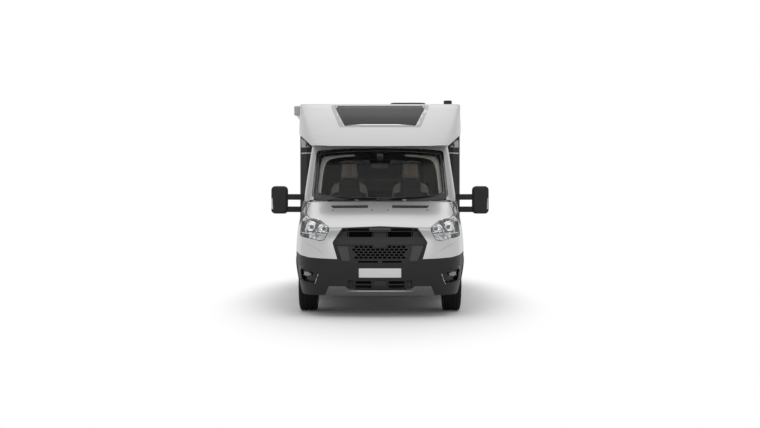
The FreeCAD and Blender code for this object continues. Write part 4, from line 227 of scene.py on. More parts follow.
DARK_BAND = finish("dark_panel", (0.016, 0.016, 0.017), (0.26, 0.36), 0.0, 0.05, 4.0, spec=0.2)
GREY = finish("grey_panel", (0.36, 0.36, 0.37), (0.34, 0.44), 0.5, 0.03, 4.0, ("noise", 80.0, 6e-05),
    coat=0.3)
STEEL = finish("frame_steel", (0.028, 0.028, 0.030), (0.45, 0.60), 0.2, 0.18, 9.0, ("noise", 120.0, 0.0004))
CAST = finish("cast_metal", (0.10, 0.10, 0.10), (0.50, 0.65), 0.7, 0.15, 20.0, ("noise", 200.0, 0.0006))
COOLER = finish("cooler_alloy", (0.26, 0.26, 0.27), (0.4, 0.5), 0.8, 0.08, 12.0, ("noise", 500.0, 0.0008),
    stretch=(1, 1, 0.02))
EXHAUST = finish("exhaust_steel", (0.36, 0.33, 0.30), (0.35, 0.55), 0.9, 0.18, 7.0, ("noise", 90.0, 0.0002))
LINER = finish("liner_plastic", (0.018, 0.018, 0.018), (0.65, 0.8), 0.0, 0.12, 12.0,
    ("pebble", 300.0, 0.0004))
RUBBER = finish("tyre_rubber", (0.009, 0.009, 0.0095), (0.62, 0.8), 0.0, 0.15, 14.0,
    ("noise", 260.0, 0.0003), spec=0.2)
SEAL = finish("seal_rubber", (0.01, 0.01, 0.01), (0.5, 0.62), 0.0, 0.1, 20.0, ("noise", 300.0, 0.0001),
    spec=0.25)
RIM = finish("wheel_silver", (0.45, 0.46, 0.47), (0.3, 0.4), 0.8, 0.05, 10.0, ("noise", 300.0, 8e-05),
    coat=0.3)
WOOD = planked("laminate_boards", (0.33, 0.25, 0.18))
PLY = finish("pale_ply", (0.48, 0.42, 0.34), (0.45, 0.6), 0.0, 0.1, 5.0, ("noise", 60.0, 0.0002),
    stretch=(1, 0.1, 1))
DASH = finish("dash_plastic", (0.035, 0.035, 0.038), (0.55, 0.70), 0.0, 0.08, 25.0, ("pebble", 500.0, 0.0003))
TRIM = finish("pale_trim", (0.62, 0.61, 0.56), (0.60, 0.75), 0.0, 0.04, 12.0, ("noise", 400.0, 0.0001))
CLOTH = woven("seat_cloth", (0.62, 0.57, 0.49))
CLOTH_BROWN = woven("seat_cloth_brown", (0.56, 0.43, 0.33))
CLOTH_DARK = woven("seat_cloth_dark", (0.055, 0.052, 0.050))
RED = finish("red_lens", (0.5, 0.015, 0.012), (0.05, 0.1), 0.0, 0.06, 12.0, ("pebble", 160.0, 0.0004),
    coat=0.9)
AMBER = finish("amber_lens", (0.8, 0.26, 0.02), (0.05, 0.1), 0.0, 0.06, 12.0, ("pebble", 160.0, 0.0004),
    coat=0.9)
PLATE = finish("blank_plate", (0.86, 0.86, 0.85), (0.30, 0.38), 0.0, 0.015, 6.0, ("noise", 150.0, 0.00005))
HOUSING = finish("lamp_reflector", (0.74, 0.74, 0.75), (0.10, 0.16), 0.95, 0.05, 14.0)
LINEN = woven("curtain_cloth", (0.42, 0.39, 0.34), 30.0)
# near-black for sheets set in openings and recesses where shade falls: painted shade
SHADE_BLACK = finish("painted_shade_black", (0.003, 0.003, 0.003), (0.85, 0.95), 0.0, 0.1, 20.0, spec=0.05)
FOG = finish("fog_lens", (0.22, 0.23, 0.24), (0.10, 0.20), 0.3, 0.04, 12.0, ("pebble", 160.0, 0.0003))
WEDGE = finish("wedge_plastic", (0.038, 0.038, 0.04), (0.45, 0.55), 0.0, 0.1, 20.0, ("pebble", 90.0, 0.0015))
GLASS_EDGE = finish("frit", (0.008, 0.008, 0.009), (0.12, 0.20), 0.0, 0.06, 6.0)
GREY_FRAME = finish("frame_grey", (0.46, 0.46, 0.46), (0.35, 0.45), 0.0, 0.03, 6.0, ("noise", 200.0, 0.00006))
LENS_WHITE = finish("milky_lens", (0.7, 0.71, 0.72), (0.06, 0.12), 0.0, 0.04, 12.0,
    ("pebble", 160.0, 0.0003), coat=0.6)
WOOD_DOOR = planked("oak_doors", (0.42, 0.33, 0.24))
WORKTOP = finish("worktop", (0.30, 0.28, 0.26), (0.30, 0.45), 0.0, 0.15, 30.0, ("noise", 300.0, 0.00005))
MIRROR = finish("mirror_glass", (0.70, 0.72, 0.74), (0.02, 0.04), 1.0, 0.01, 3.0)

NODE_FINISH = {
    SILVER: ["bonnet", "front_wings", "cab_shell", "cab_door_left", "cab_door_right"],
    GRAINED: ["front_bumper", "mirror_left", "mirror_right"],
    SATIN: ["bumper_trim"],
    BLACK: ["grille", "roof_fittings"],
    LENS: ["front_lamps"],
    HOUSING: ["lamp_housings"],
    TINTED: ["windscreen", "cab_door_glass_left", "cab_door_glass_right"],
    ACRYLIC: ["overcab_window", "house_windows", "entry_door_pane", "hatch_lid_front", "hatch_lid_rear"],
    WHITE: ["overcab_cap", "house_roof", "entry_door", "garage_door_left", "garage_door_right"],
    SHEET: ["wall_left", "wall_right", "wall_rear"],
    DARK_BAND: ["body_shoulders"],
    GREY: ["house_skirts", "rear_bumper"],
    RED: ["tail_lamps"],
    ALLOY: ["awning"],
    STEEL: ["chassis_frame", "cross_members", "front_suspension", "rear_axle", "cab_floor"],
    CAST: ["engine_block", "knuckle_left", "knuckle_right"],
    COOLER: ["radiator"],
    EXHAUST: ["exhaust"],
    LINER: ["wheel_arch_liners", "underfloor_tanks", "house_floor"],
    RUBBER: ["tyre_front_left", "tyre_front_right", "tyre_rear_left", "tyre_rear_right"],
    RIM: ["rim_front_left", "rim_front_right", "rim_rear_left", "rim_rear_right"],
    PLY: ["bed_platform"],
    DASH: ["dashboard", "steering_wheel", "seat_frames"],
}


def dress_nodes():
    """Gives each CAD node its finish; meshes stay as they are."""
    for made, names in NODE_FINISH.items():
        for name in names:
            if not NODES[name].material_slots:
                NODES[name].data.materials.append(made)
            for held in NODES[name].material_slots:
                held.material = made


dress_nodes()


# Pieces: every helper ends in piece(), which links, dresses and hands a mesh to its body

SAME_POINT = 1e-5
BEVELLED_FROM = 30
# a corner's radius takes this share of either edge at most, and is drawn in these steps
EDGE_SHARE, ROUND_STEPS = 0.45, 5
# a tapered bead's end: its size there, and the share of its points that it takes
TIP_SIZE, TIP_SHARE = 0.15, 0.2
SIDES = ("left", 1), ("right", -1)
TREES = {}
# each view's ray for two coordinates: where it starts and which way it runs
VIEWS = {
    "front": lambda u, v: (Vector((u, -6, v)), Y),
    "rear": lambda u, v: (Vector((u, 6, v)), -Y),
    "left": lambda u, v: (Vector((3, u, v)), -X),
    "right": lambda u, v: (Vector((-3, u, v)), X),
    "top": lambda u, v: (Vector((u, v, 5)), -Z),
}


def tree_of(names):
    """A search tree over the named nodes' meshes, in the shared frame."""
    if names not in TREES:
        verts, faces = [], []
        for name in names:
            mesh = NODES[name].data
            base = len(verts)
            verts += [vertex.co.copy() for vertex in mesh.vertices]
            faces += [[base + i for i in face.vertices] for face in mesh.polygons]
        TREES[names] = BVHTree.FromPolygons(verts, faces)
    return TREES[names]


def cast(view, u, v, names, lift=0.0):
    """The first point of the named nodes that a view's ray meets, lifted off the surface."""
    start, along = VIEWS[view](u, v)
    place, normal, _, _ = tree_of(tuple(names)).ray_cast(start, along)
    if place is None:
        return None, None
    if normal.dot(along) > 0:
        normal = -normal
    return place + normal * lift, normal


def piece(name, verts, faces, made, body="vehicle", solid=0.0, bevel=0.0, segments=2,
          offset=-1.0, angle=35, taken=()):
    """Links a mesh, dresses it, and hands it to its body."""
    mesh = bpy.data.meshes.new(name)
    mesh.from_pydata([tuple(v) for v in verts], [], faces)
    mesh.validate()
    obj = bpy.data.objects.new(name, mesh)
    bpy.context.collection.objects.link(obj)
    work = bmesh.new()
    work.from_mesh(mesh)
    bmesh.ops.remove_doubles(work, verts=work.verts, dist=SAME_POINT)
    bmesh.ops.recalc_face_normals(work, faces=work.faces)
    work.to_mesh(mesh)
    work.free()
    mesh.materials.append(made)
    if solid:
        thick = obj.modifiers.new("thick", "SOLIDIFY")
        thick.thickness, thick.offset = solid, offset
    if bevel:
        edge = obj.modifiers.new("edge", "BEVEL")
        edge.width, edge.segments, edge.limit_method = bevel, segments, "ANGLE"
        edge.angle_limit = math.radians(BEVELLED_FROM)
    for face in mesh.polygons:
        face.use_smooth = True
    mesh.set_sharp_from_angle(angle=math.radians(angle))
    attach(obj, body)
    if taken:
        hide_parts(*taken)
    return obj


def mirrored(sign, points):
    """Points written for the left side, for the side of this sign."""
    return [(sign * u, *rest) for u, *rest in points]


def arc_corners(corners):
    """Points round a closed outline of (u, v, radius) corners."""
    out = []
    n = len(corners)
    for i in range(n):
        u, v, r = (*corners[i], 0)[:3]
        here = Vector((u, v))
        if r <= 0:
            out.append(here)
            continue
        before = Vector(corners[i - 1][:2]) - here
        after = Vector(corners[(i + 1) % n][:2]) - here
        r = min(r, before.length * EDGE_SHARE, after.length * EDGE_SHARE)
        a, b = here + before.normalized() * r, here + after.normalized() * r
        for k in range(ROUND_STEPS + 1):
            t = k / ROUND_STEPS
            out.append(a * (1 - t) ** 2 + here * 2 * t * (1 - t) + b * t ** 2)
    return out


def split_edges(points, step, closed=True):
    """The points with more between them, a step apart at most."""
    out = []
    n = len(points)
    for i in range(n if closed else n - 1):
        a, b = Vector(points[i][:2]), Vector(points[(i + 1) % n][:2])
        parts = max(1, math.ceil((b - a).length / step))
        out += [a.lerp(b, k / parts) for k in range(parts)]
    if not closed:
        out.append(Vector(points[-1][:2]))
    return out


def within(point, ring):
    """Whether a point lies inside a ring."""
    odd = False
    for i in range(len(ring)):
        a, b = ring[i - 1], ring[i]
        if (a[1] > point[1]) != (b[1] > point[1]):
            if point[0] < a[0] + (b[0] - a[0]) * (point[1] - a[1]) / (b[1] - a[1]):
                odd = not odd
    return odd


def patch(name, outline, view, names, made, holes=(), lift=0.001, solid=0.001, step=0.03, body="vehicle",
          bevel=0.0):
    """A thin sheet that follows the surface of the named nodes inside an outline."""
    rings = [split_edges(arc_corners(ring), step) for ring in (outline, *holes)]

    def is_sheet(point):
        return within(point, rings[0]) and not any(within(point, ring) for ring in rings[1:])

    flat, edges = [], []
    for ring in rings:
        base = len(flat)
        flat += ring
        edges += [(base + i, base + (i + 1) % len(ring)) for i in range(len(ring))]
    us, vs = [p[0] for p in rings[0]], [p[1] for p in rings[0]]
    u = min(us) + step / 2
    while u < max(us):
        v = min(vs) + step / 2
        while v < max(vs):
            if is_sheet((u, v)):
                flat.append(Vector((u, v)))
            v += step
        u += step
    made_2d = delaunay_2d_cdt(flat, edges, [], 0, 1e-6)
    points, faces = made_2d[0], made_2d[2]
    kept = []
    for face in faces:
        middle = sum((points[i] for i in face), Vector((0, 0))) / len(face)
        if is_sheet(middle):
            kept.append(face)
    placed = [cast(view, *p, names, lift)[0] for p in points]
    good = [f for f in kept if all(placed[i] is not None for i in f)]
    anywhere = next(p for p in placed if p is not None)
    placed = [anywhere if p is None else p for p in placed]
    return piece(name, placed, good, made, body, solid=solid, bevel=bevel)


def sweep_along(name, points, normals, made, width, height, body="vehicle", closed=False,
                sides=8, sink=0.3, taper=False):
    """A bead of half-round section along placed points, standing on the surface's normals."""
    verts, faces = [], []
    n = len(points)
    for i in range(n):
        ahead = points[(i + 1) % n] if closed or i < n - 1 else points[i]
        behind = points[i - 1] if closed or i > 0 else points[i]
        along = (ahead - behind).normalized()
        across = along.cross(normals[i]).normalized()
        up = across.cross(along).normalized()
        if up.dot(normals[i]) < 0:
            up = -up
        size = 1.0
        if taper and not closed:
            size = max(TIP_SIZE, min(1.0, min(i, n - 1 - i) / (n * TIP_SHARE)))
        for k in range(sides):
            turn = 2 * math.pi * k / sides
            sideways = math.cos(turn) * width / 2 * size
            upwards = (math.sin(turn) * height / 2 + height * (0.5 - sink)) * size
            verts.append(points[i] + across * sideways + up * upwards)
    for i in range(n if closed else n - 1):
        for k in range(sides):
            a, b = i * sides + k, i * sides + (k + 1) % sides
            c, d = (i + 1) % n * sides + (k + 1) % sides, (i + 1) % n * sides + k
            faces.append((a, b, c, d))
    if not closed:
        faces += [tuple(range(sides - 1, -1, -1)), tuple((n - 1) * sides + k for k in range(sides))]
    return piece(name, verts, faces, made, body, angle=60)


def bead(name, path, view, names, made, width=0.006, height=0.004, closed=False, step=0.02,
         body="vehicle", taper=False, sink=0.3):
    """A bead laid on the named nodes along a path of (u, v) points."""
    flat = split_edges(arc_corners(path) if closed else path, step, closed)
    points, normals = [], []
    for p in flat:
        place, normal = cast(view, p[0], p[1], names)
        if place is not None:
            points.append(place)
            normals.append(normal)
    return sweep_along(name, points, normals, made, width, height, body, closed, sink=sink,
        taper=taper)


def tube(name, points, radius, made, body="vehicle", rounds=2):
    """A round bar through points, its corners eased."""
    line = [Vector(p) for p in points]
    for _ in range(rounds):
        eased = [line[0]]
        for a, b in zip(line, line[1:]):
            eased += [a.lerp(b, 0.25), a.lerp(b, 0.75)]
        line = eased + [line[-1]]
    normals = []
    for i in range(len(line)):
        along = (line[min(i + 1, len(line) - 1)] - line[max(i - 1, 0)]).normalized()
        side = Z if abs(along.dot(Z)) < 0.9 else X
        normals.append((side - along * side.dot(along)).normalized())
    return sweep_along(name, line, normals, made, 2 * radius, 2 * radius, body, sides=10, sink=0.5)


def block(name, low, high, made, body="vehicle", bevel=0.006, segments=3, taper=(0, 0)):
    """A box with rounded edges; taper narrows its top by (x, y) shares."""
    (x0, y0, z0), (x1, y1, z1) = low, high
    mx, my = (x1 - x0) / 2 * taper[0], (y1 - y0) / 2 * taper[1]
    verts = [(x0, y0, z0), (x1, y0, z0), (x1, y1, z0), (x0, y1, z0), (x0 + mx, y0 + my, z1),
        (x1 - mx, y0 + my, z1), (x1 - mx, y1 - my, z1), (x0 + mx, y1 - my, z1)]
    faces = [(0, 3, 2, 1), (4, 5, 6, 7), (0, 1, 5, 4), (1, 2, 6, 5), (2, 3, 7, 6), (3, 0, 4, 7)]
    return piece(name, verts, faces, made, body, bevel=bevel, segments=segments)


def prism(name, outline, place, made, depth, body="vehicle", bevel=0.002, segments=2):
    """A plate of a rounded outline; place turns (u, v, w) into a point."""
    ring = arc_corners(outline)
    n = len(ring)
    verts = [place(u, v, 0.0) for u, v in ring] + [place(u, v, depth) for u, v in ring]
    faces = [tuple(range(n)), tuple(range(2 * n - 1, n - 1, -1))]
    faces += [(i, (i + 1) % n, n + (i + 1) % n, n + i) for i in range(n)]
    return piece(name, verts, faces, made, body, bevel=bevel, segments=segments)


def lathe(name, profile, centre, axis, made, body="vehicle", turns=32):
    """A profile of (radius, distance along the axis) points turned round the axis."""
    axis = Vector(axis).normalized()
    side = axis.orthogonal().normalized()
    other = axis.cross(side)
    centre = Vector(centre)
    verts, faces = [], []
    for r, w in profile:
        for k in range(turns):
            turn = 2 * math.pi * k / turns
            verts.append(centre + axis * w + (side * math.cos(turn) + other * math.sin(turn)) * max(r, 1e-6))
    for i in range(len(profile) - 1):
        for k in range(turns):
            a, b = i * turns + k, i * turns + (k + 1) % turns
            faces.append((a, b, b + turns, a + turns))
    return piece(name, verts, faces, made, body)


# Front of the cab

CAB = ("bonnet", "front_wings", "cab_shell", "front_bumper", "bumper_trim", "grille", "windscreen")


def dress_windscreen():
    """Frit, seal, cowl, inside mirror and sensor, wipers."""
    glass = ["windscreen"]
    rim = [(-0.868, 1.49, 0.05), (-0.6, 1.444, 0.3), (-0.3, 1.42, 0.3), (0, 1.412, 0.3), (0.3, 1.42, 0.3),
        (0.6, 1.444, 0.3), (0.868, 1.49, 0.05), (0.852, 1.86, 0.3), (0.843, 2.1, 0.06), (0.42, 2.128, 0.3),
        (0, 2.137, 0.3), (-0.42, 2.128, 0.3), (-0.843, 2.1, 0.06), (-0.852, 1.86, 0.3)]
    inner = [(-0.835, 1.53, 0.06), (-0.6, 1.49, 0.3), (0, 1.462, 0.3), (0.6, 1.49, 0.3), (0.835, 1.53, 0.06),
        (0.826, 1.86, 0.3), (0.815, 2.075, 0.07), (0.42, 2.104, 0.3), (0, 2.112, 0.3), (-0.42, 2.104, 0.3),
        (-0.815, 2.075, 0.07), (-0.826, 1.86, 0.3)]
    patch("windscreen_frit", rim, "front", glass, GLASS_EDGE, [inner], 0.0006, 0.0006, 0.05)
    bead("windscreen_seal", rim, "front", glass, SEAL, 0.012, 0.005, closed=True, step=0.04)
    # the cowl between glass and bonnet is a black grille
    cowl = [(-0.87, 1.515, 0.02), (-0.6, 1.49, 0.3), (0, 1.462, 0.3), (0.6, 1.49, 0.3), (0.87, 1.515, 0.02),
        (0.87, 1.428, 0.02), (0.6, 1.418, 0.3), (0, 1.416, 0.3), (-0.6, 1.418, 0.3), (-0.87, 1.428, 0.02)]
    patch("cowl_grille", cowl, "front", ["cab_shell", "windscreen", "front_wings"], BLACK, lift=0.004,
        step=0.02)
    # mirror and rain sensor stand behind the glass at its top middle
    foot, _ = cast("front", 0, 2.035, glass, -0.012)
    block("sensor_cover", foot + Vector((-0.045, 0.0, -0.045)), foot + Vector((0.045, 0.055, 0.05)), DASH,
        bevel=0.012)
    low = foot + Vector((0, 0.10, -0.115))
    tube("mirror_stalk", [foot + Vector((0, 0.04, -0.02)), foot + Vector((0, 0.075, -0.06)), low], 0.007,
        DASH)
    face = [(-0.125, -0.034, 0.024), (0.125, -0.034, 0.024), (0.118, 0.036, 0.024), (-0.118, 0.036, 0.024)]
    prism("mirror_inside", face, lambda u, v, w: low + Vector((u, w - 0.014, v)), DASH, 0.026, bevel=0.006,
        segments=3)
    glass_face = [(u * 0.93, v * 0.86, r) for u, v, r in face]
    prism("mirror_inside_glass", glass_face, lambda u, v, w: low + Vector((u, 0.0125 + w, v)), MIRROR, 0.001,
        bevel=0.0)
    # wipers lie along the base of the glass, which rises towards the sides
    foot_z, rise, half_width, steps = 1.436, 0.055, 0.86, 21
    for tag, foot_x, tip_x, lift in (("left", -0.03, 0.74, 0.012), ("right", -0.66, 0.10, 0.020)):
        blade, normals = [], []
        for k in range(steps + 1):
            x = foot_x + 0.02 + (tip_x - foot_x) * k / steps
            z = foot_z + rise * (x / half_width) ** 2
            place, normal = cast("front", x, z + 0.012, glass + ["cab_shell"], 0.008)
            if place is not None:
                blade.append(place)
                normals.append(normal)
        sweep_along(f"wiper_blade_{tag}", blade, normals, SEAL, 0.009, 0.016, sides=6, taper=True)
        bridge = [p + n * 0.014 for p, n in zip(blade[4:-4], normals[4:-4])]
        sweep_along(f"wiper_spoiler_{tag}", bridge, normals[4:-4], BLACK, 0.016, 0.01, sides=6, taper=True)
        base, _ = cast("front", foot_x, 1.428, CAB, 0.012)
        middle = bridge[len(bridge) // 2]
        tube(f"wiper_arm_{tag}", [base, base.lerp(middle, 0.4) + Vector((0, -0.012, 0.006)), middle], 0.0075,
            BLACK)
        lathe(f"wiper_cap_{tag}", [(0.0, 0.014), (0.013, 0.013), (0.018, 0.006), (0.018, -0.006)], base,
            Vector((0, -0.5, 0.85)), BLACK, turns=20)


def dress_bonnet():
    """The bonnet's two vents with ribs, and four washer jets."""
    for side, sign in SIDES:
        outline = mirrored(sign, [(0.153, 1.331, 0.003), (0.6, 1.329, 0.006), (0.634, 1.362, 0.004),
            (0.153, 1.365, 0.003)])
        patch(f"bonnet_vent_{side}", outline, "front", ["bonnet"], SEAL, lift=0.0008, solid=0.0007,
            body="bonnet")
        for k in range(3):
            z = 1.338 + 0.009 * k
            bead(f"bonnet_vent_rib_{side}_{k}", mirrored(sign, [(0.16, z), (0.4, z), (0.61, z)]), "front",
                ["bonnet"], BLACK, 0.006, 0.004, body="bonnet", step=0.05)
        for k, (x, z) in enumerate(((0.10, 1.30), (0.60, 1.30))):
            place, normal = cast("front", sign * x, z, ["bonnet"])
            lathe(f"washer_jet_{side}_{k}", [(0.0, 0.008), (0.006, 0.007), (0.009, 0.003), (0.011, -0.002)],
                place, normal, BLACK, "bonnet", 14)


def dress_wings():
    """The wings' creases, and a painted highlight along the skid trim's upper edge."""
    for side, sign in SIDES:
        crease = mirrored(sign, [(0.935, 0.9), (0.88, 0.878), (0.81, 0.845), (0.755, 0.815), (0.725, 0.78),
            (0.705, 0.745), (0.7, 0.72)])
        bead(f"wing_crease_{side}", crease, "front", ["front_wings"], SILVER, 0.022, 0.007, step=0.01,
            taper=True, sink=0.1)
    # painted highlight: a lighter metal bead along the trim's top edge, where light catches it
    top = [(x, 0.319) for x in (-0.42, -0.2, 0, 0.2, 0.42)]
    bead("skid_edge_highlight", top, "front", ["bumper_trim"], ALLOY, 0.014, 0.005, step=0.03,
        taper=True)


def dress_shade_sheets():
    """Near-black sheets stand behind the grille and the intake as painted shade, so that their openings are
    dark.
    """
    # painted shade: flat near-black sheets stand for the shaded space behind the openings
    shade_sheets = ("grille_shade_sheet", 0.49, 0.66, 1.07, -3.378), ("intake_shade_sheet", 0.31, 0.37, 0.46, -3.452)
    for name, half, low, high, y in shade_sheets:
        outline = [(-half, low, 0.03), (half, low, 0.03), (half * 0.94, high, 0.03),
            (-half * 0.94, high, 0.03)]
        prism(name, outline, lambda u, v, w: Vector((u, y + w, v)), SHADE_BLACK, 0.003)


def dress_grille():
    """Lines, painted shade in the recess, wedges and plain fields of the grille."""
    outline = [(-0.483, 0.653, 0.03), (0.483, 0.653, 0.03), (0.576, 0.926, 0.05), (0.463, 1.083, 0.04),
        (0.2, 1.099, 0.2), (0, 1.102, 0.2), (-0.2, 1.099, 0.2), (-0.463, 1.083, 0.04), (-0.576, 0.926, 0.05)]
    thin = [(u * 0.955, 0.653 + (v - 0.653) * 0.955 + 0.010, r) for u, v, r in outline]
    bead("grille_line", thin, "front", ["grille"], BLACK, 0.008, 0.006, closed=True, step=0.03)
    # the recess beside the centre block, darkened by a near-black sheet of painted shade, and the textured
    # wedges beside the mesh
    for side, sign in SIDES:
        recess = mirrored(sign, [(0.075, 0.978, 0.008), (0.398, 0.978, 0.008), (0.398, 1.076, 0.008),
            (0.085, 1.08, 0.008)])
        # painted shade: a near-black sheet laid in the recess
        patch(f"grille_recess_shade_{side}", recess, "front", ["grille"], SHADE_BLACK, lift=0.0006, solid=0.0005,
            step=0.02)
        wedge = mirrored(sign, [(0.528, 0.868, 0.012), (0.394, 0.866, 0.012), (0.362, 0.686, 0.012),
            (0.455, 0.686, 0.012)])
        patch(f"grille_wedge_{side}", wedge, "front", ["grille"], WEDGE, lift=0.004, solid=0.004, step=0.02,
            bevel=0.002)
    # the raised, plain centre of the top bar and the bright edge of the wide bar under it
    bead("grille_bar_edge", [(-0.52, 0.962), (-0.3, 0.964), (0, 0.965), (0.3, 0.964), (0.52, 0.962)],
        "front", ["grille"], PIANO, 0.006, 0.004, step=0.03)
    bead("grille_bar_foot", [(-0.5, 0.884), (0, 0.884), (0.5, 0.884)], "front", ["grille"], PIANO, 0.006,
        0.004, step=0.03)
    patch("grille_badge_field", [(-0.132, 1.042, 0.008), (0.132, 1.042, 0.008), (0.132, 1.08, 0.008),
        (-0.132, 1.08, 0.008)], "front", ["grille"], PIANO, lift=0.003, solid=0.004, bevel=0.0012)
    patch("sensor_window", [(-0.072, 0.385, 0.01), (0.072, 0.385, 0.01), (0.066, 0.44, 0.01),
        (-0.066, 0.44, 0.01)], "front", ["grille"], PIANO, lift=0.003, solid=0.004, step=0.02, bevel=0.0012)


def dress_plate():
    """A blank number plate that follows the bumper."""
    bumper = ["front_bumper"]
    holder = [(-0.262, 0.480, 0.010), (0.262, 0.480, 0.010), (0.262, 0.604, 0.010), (-0.262, 0.604, 0.010)]
    patch("plate_holder", holder, "front", bumper, BLACK, lift=0.0012, solid=0.004, step=0.04, bevel=0.0008)
    patch("plate_front", [(-0.255, 0.487, 0.007), (0.255, 0.487, 0.007), (0.255, 0.597, 0.007),
        (-0.255, 0.597, 0.007)], "front", bumper, PLATE, lift=0.0022, solid=0.002, step=0.04, bevel=0.0005)


def dress_lamps():
    """Cells, fins and seals of the headlamps, and the fog lamps in their recesses."""
    housing, lens = ["lamp_housings"], ["front_lamps"]
    fog_x, fog_z, fog_half, fog_high = 0.902, 0.525, 0.06, 0.032
    for side, sign in SIDES:
        for k, (x, z, r) in enumerate(((0.69, 1.072, 0.020), (0.85, 1.095, 0.022), (0.725, 0.962, 0.018),
                                       (0.84, 0.968, 0.019))):
            place, _ = cast("front", sign * x, z, housing)
            if place is None:
                continue
            lathe(f"lamp_lens_{side}_{k}", [(0.0, r * 1.1), (r * 0.5, r * 0.95), (r * 0.86, r * 0.55),
                (r, 0.1 * r), (r * 1.18, 0.1 * r), (r * 1.2, -0.002)], place, -Y, PIANO if k < 2 else CHROME,
                turns=24)
        bead(f"lamp_shelf_edge_{side}", mirrored(sign, [(0.645, 1.012), (0.7, 1.022), (0.8, 1.03),
            (0.9, 1.04), (0.93, 1.045)]), "front", housing, PIANO, 0.012, 0.01,
            step=0.015, sink=0.1)
        bead(f"lamp_fin_upright_{side}", mirrored(sign, [(0.768, 1.175), (0.766, 1.1), (0.775, 1.02),
            (0.783, 0.95)]), "front", housing, CHROME, 0.014, 0.03, step=0.015, sink=0.1)
        bead(f"lamp_guide_{side}", mirrored(sign, [(0.955, 1.235), (0.945, 1.15), (0.945, 1.06),
            (0.94, 0.995)]), "front", housing, CHROME, 0.016, 0.012, taper=True)
        edge = mirrored(sign, [(0.618, 1.07, 0.01), (0.675, 0.942, 0.01), (0.742, 0.93, 0.01),
            (0.962, 0.985, 0.01), (0.945, 1.2, 0.02), (0.8, 1.165, 0.2)])
        bead(f"lamp_seal_{side}", edge, "front", lens, SEAL, 0.005, 0.003, closed=True, step=0.03)
        # fog lamp: black surround with an oval lens in it
        outline = mirrored(sign, [(0.746, 0.56, 0.01), (1.0, 0.618, 0.02), (1.0, 0.44, 0.03),
            (0.788, 0.386, 0.02)])
        patch(f"fog_surround_{side}", outline, "front", ["front_lamps", "lamp_housings", "front_bumper"],
            BLACK, lift=0.0015, step=0.02)
        oval = [(sign * (fog_x + fog_half * math.cos(a)), fog_z + fog_high * math.sin(a))
            for a in [2 * math.pi * k / 24 for k in range(24)]]
        for tag, grow, made, lift in (("ring", 1.18, PIANO, 0.004), ("glass", 1.0, FOG, 0.006)):
            middle = sign * fog_x
            shape = [(middle + (u - middle) * grow, fog_z + (v - fog_z) * grow) for u, v in oval]
            patch(f"fog_{tag}_{side}", shape, "front", ["front_lamps", "lamp_housings"], made, lift=lift,
                solid=0.003, step=0.02, bevel=0.0015)
        rim = mirrored(sign, [(0.748, 0.549, 0.02), (0.982, 0.592, 0.03), (0.982, 0.425, 0.03),
            (0.796, 0.396, 0.03)])
        bead(f"fog_rim_{side}", rim, "front", ["front_bumper", "front_lamps", "lamp_housings"], GRAINED,
            0.026, 0.01, closed=True)


def dress_skylight():
    """Frame, seal and bright strip of the window over the cab."""
    frame = [(-0.560, 2.452, 0.03), (0.560, 2.452, 0.03), (0.716, 2.822, 0.05), (-0.716, 2.822, 0.05)]
    inner = [(-0.487, 2.470, 0.02), (0.487, 2.470, 0.02), (0.655, 2.803, 0.03), (-0.655, 2.803, 0.03)]
    both_nodes = ["overcab_window", "overcab_cap"]
    patch("skylight_frame", frame, "front", both_nodes, GREY_FRAME, [inner], 0.0025, 0.003, 0.05,
        bevel=0.001)
    bead("skylight_seal", inner, "front", both_nodes, SEAL, 0.008, 0.006, closed=True, step=0.05)
    strip = [(x, 2.476 + 0.002 * abs(x)) for x in (-0.455, -0.3, -0.1, 0.1, 0.3, 0.455)]
    bead("skylight_strip", strip, "front", both_nodes, CHROME, 0.024, 0.018, step=0.04, taper=True, sink=0.0)


def dress_fairings():
    """Grey panel, white line and marker lamp on each body shoulder."""
    sides = ["body_shoulders"]
    for side, sign in SIDES:
        grey = mirrored(sign, [(1.005, 2.215, 0.0), (1.158, 2.215, 0.0), (1.158, 2.385, 0.0),
            (1.12, 2.365, 0.02)])
        patch(f"fairing_panel_{side}", grey, "front", sides, GREY, lift=0.0008, solid=0.0008)
        line = [(sign * x, 2.132) for x in (0.985, 1.04, 1.10, 1.155)]
        bead(f"fairing_line_{side}", line, "front", sides, WHITE, 0.016, 0.003)
        place, normal = cast("front", sign * 1.10, 2.325, sides)
        if place is not None:
            lathe(f"marker_lamp_{side}", [(0.0, 0.01), (0.01, 0.009), (0.016, 0.004), (0.018, -0.001)],
                place, normal, LENS, turns=20)


dress_windscreen()
dress_bonnet()
dress_wings()
dress_shade_sheets()
dress_grille()
dress_plate()
dress_lamps()
dress_skylight()
dress_fairings()


# Wheels


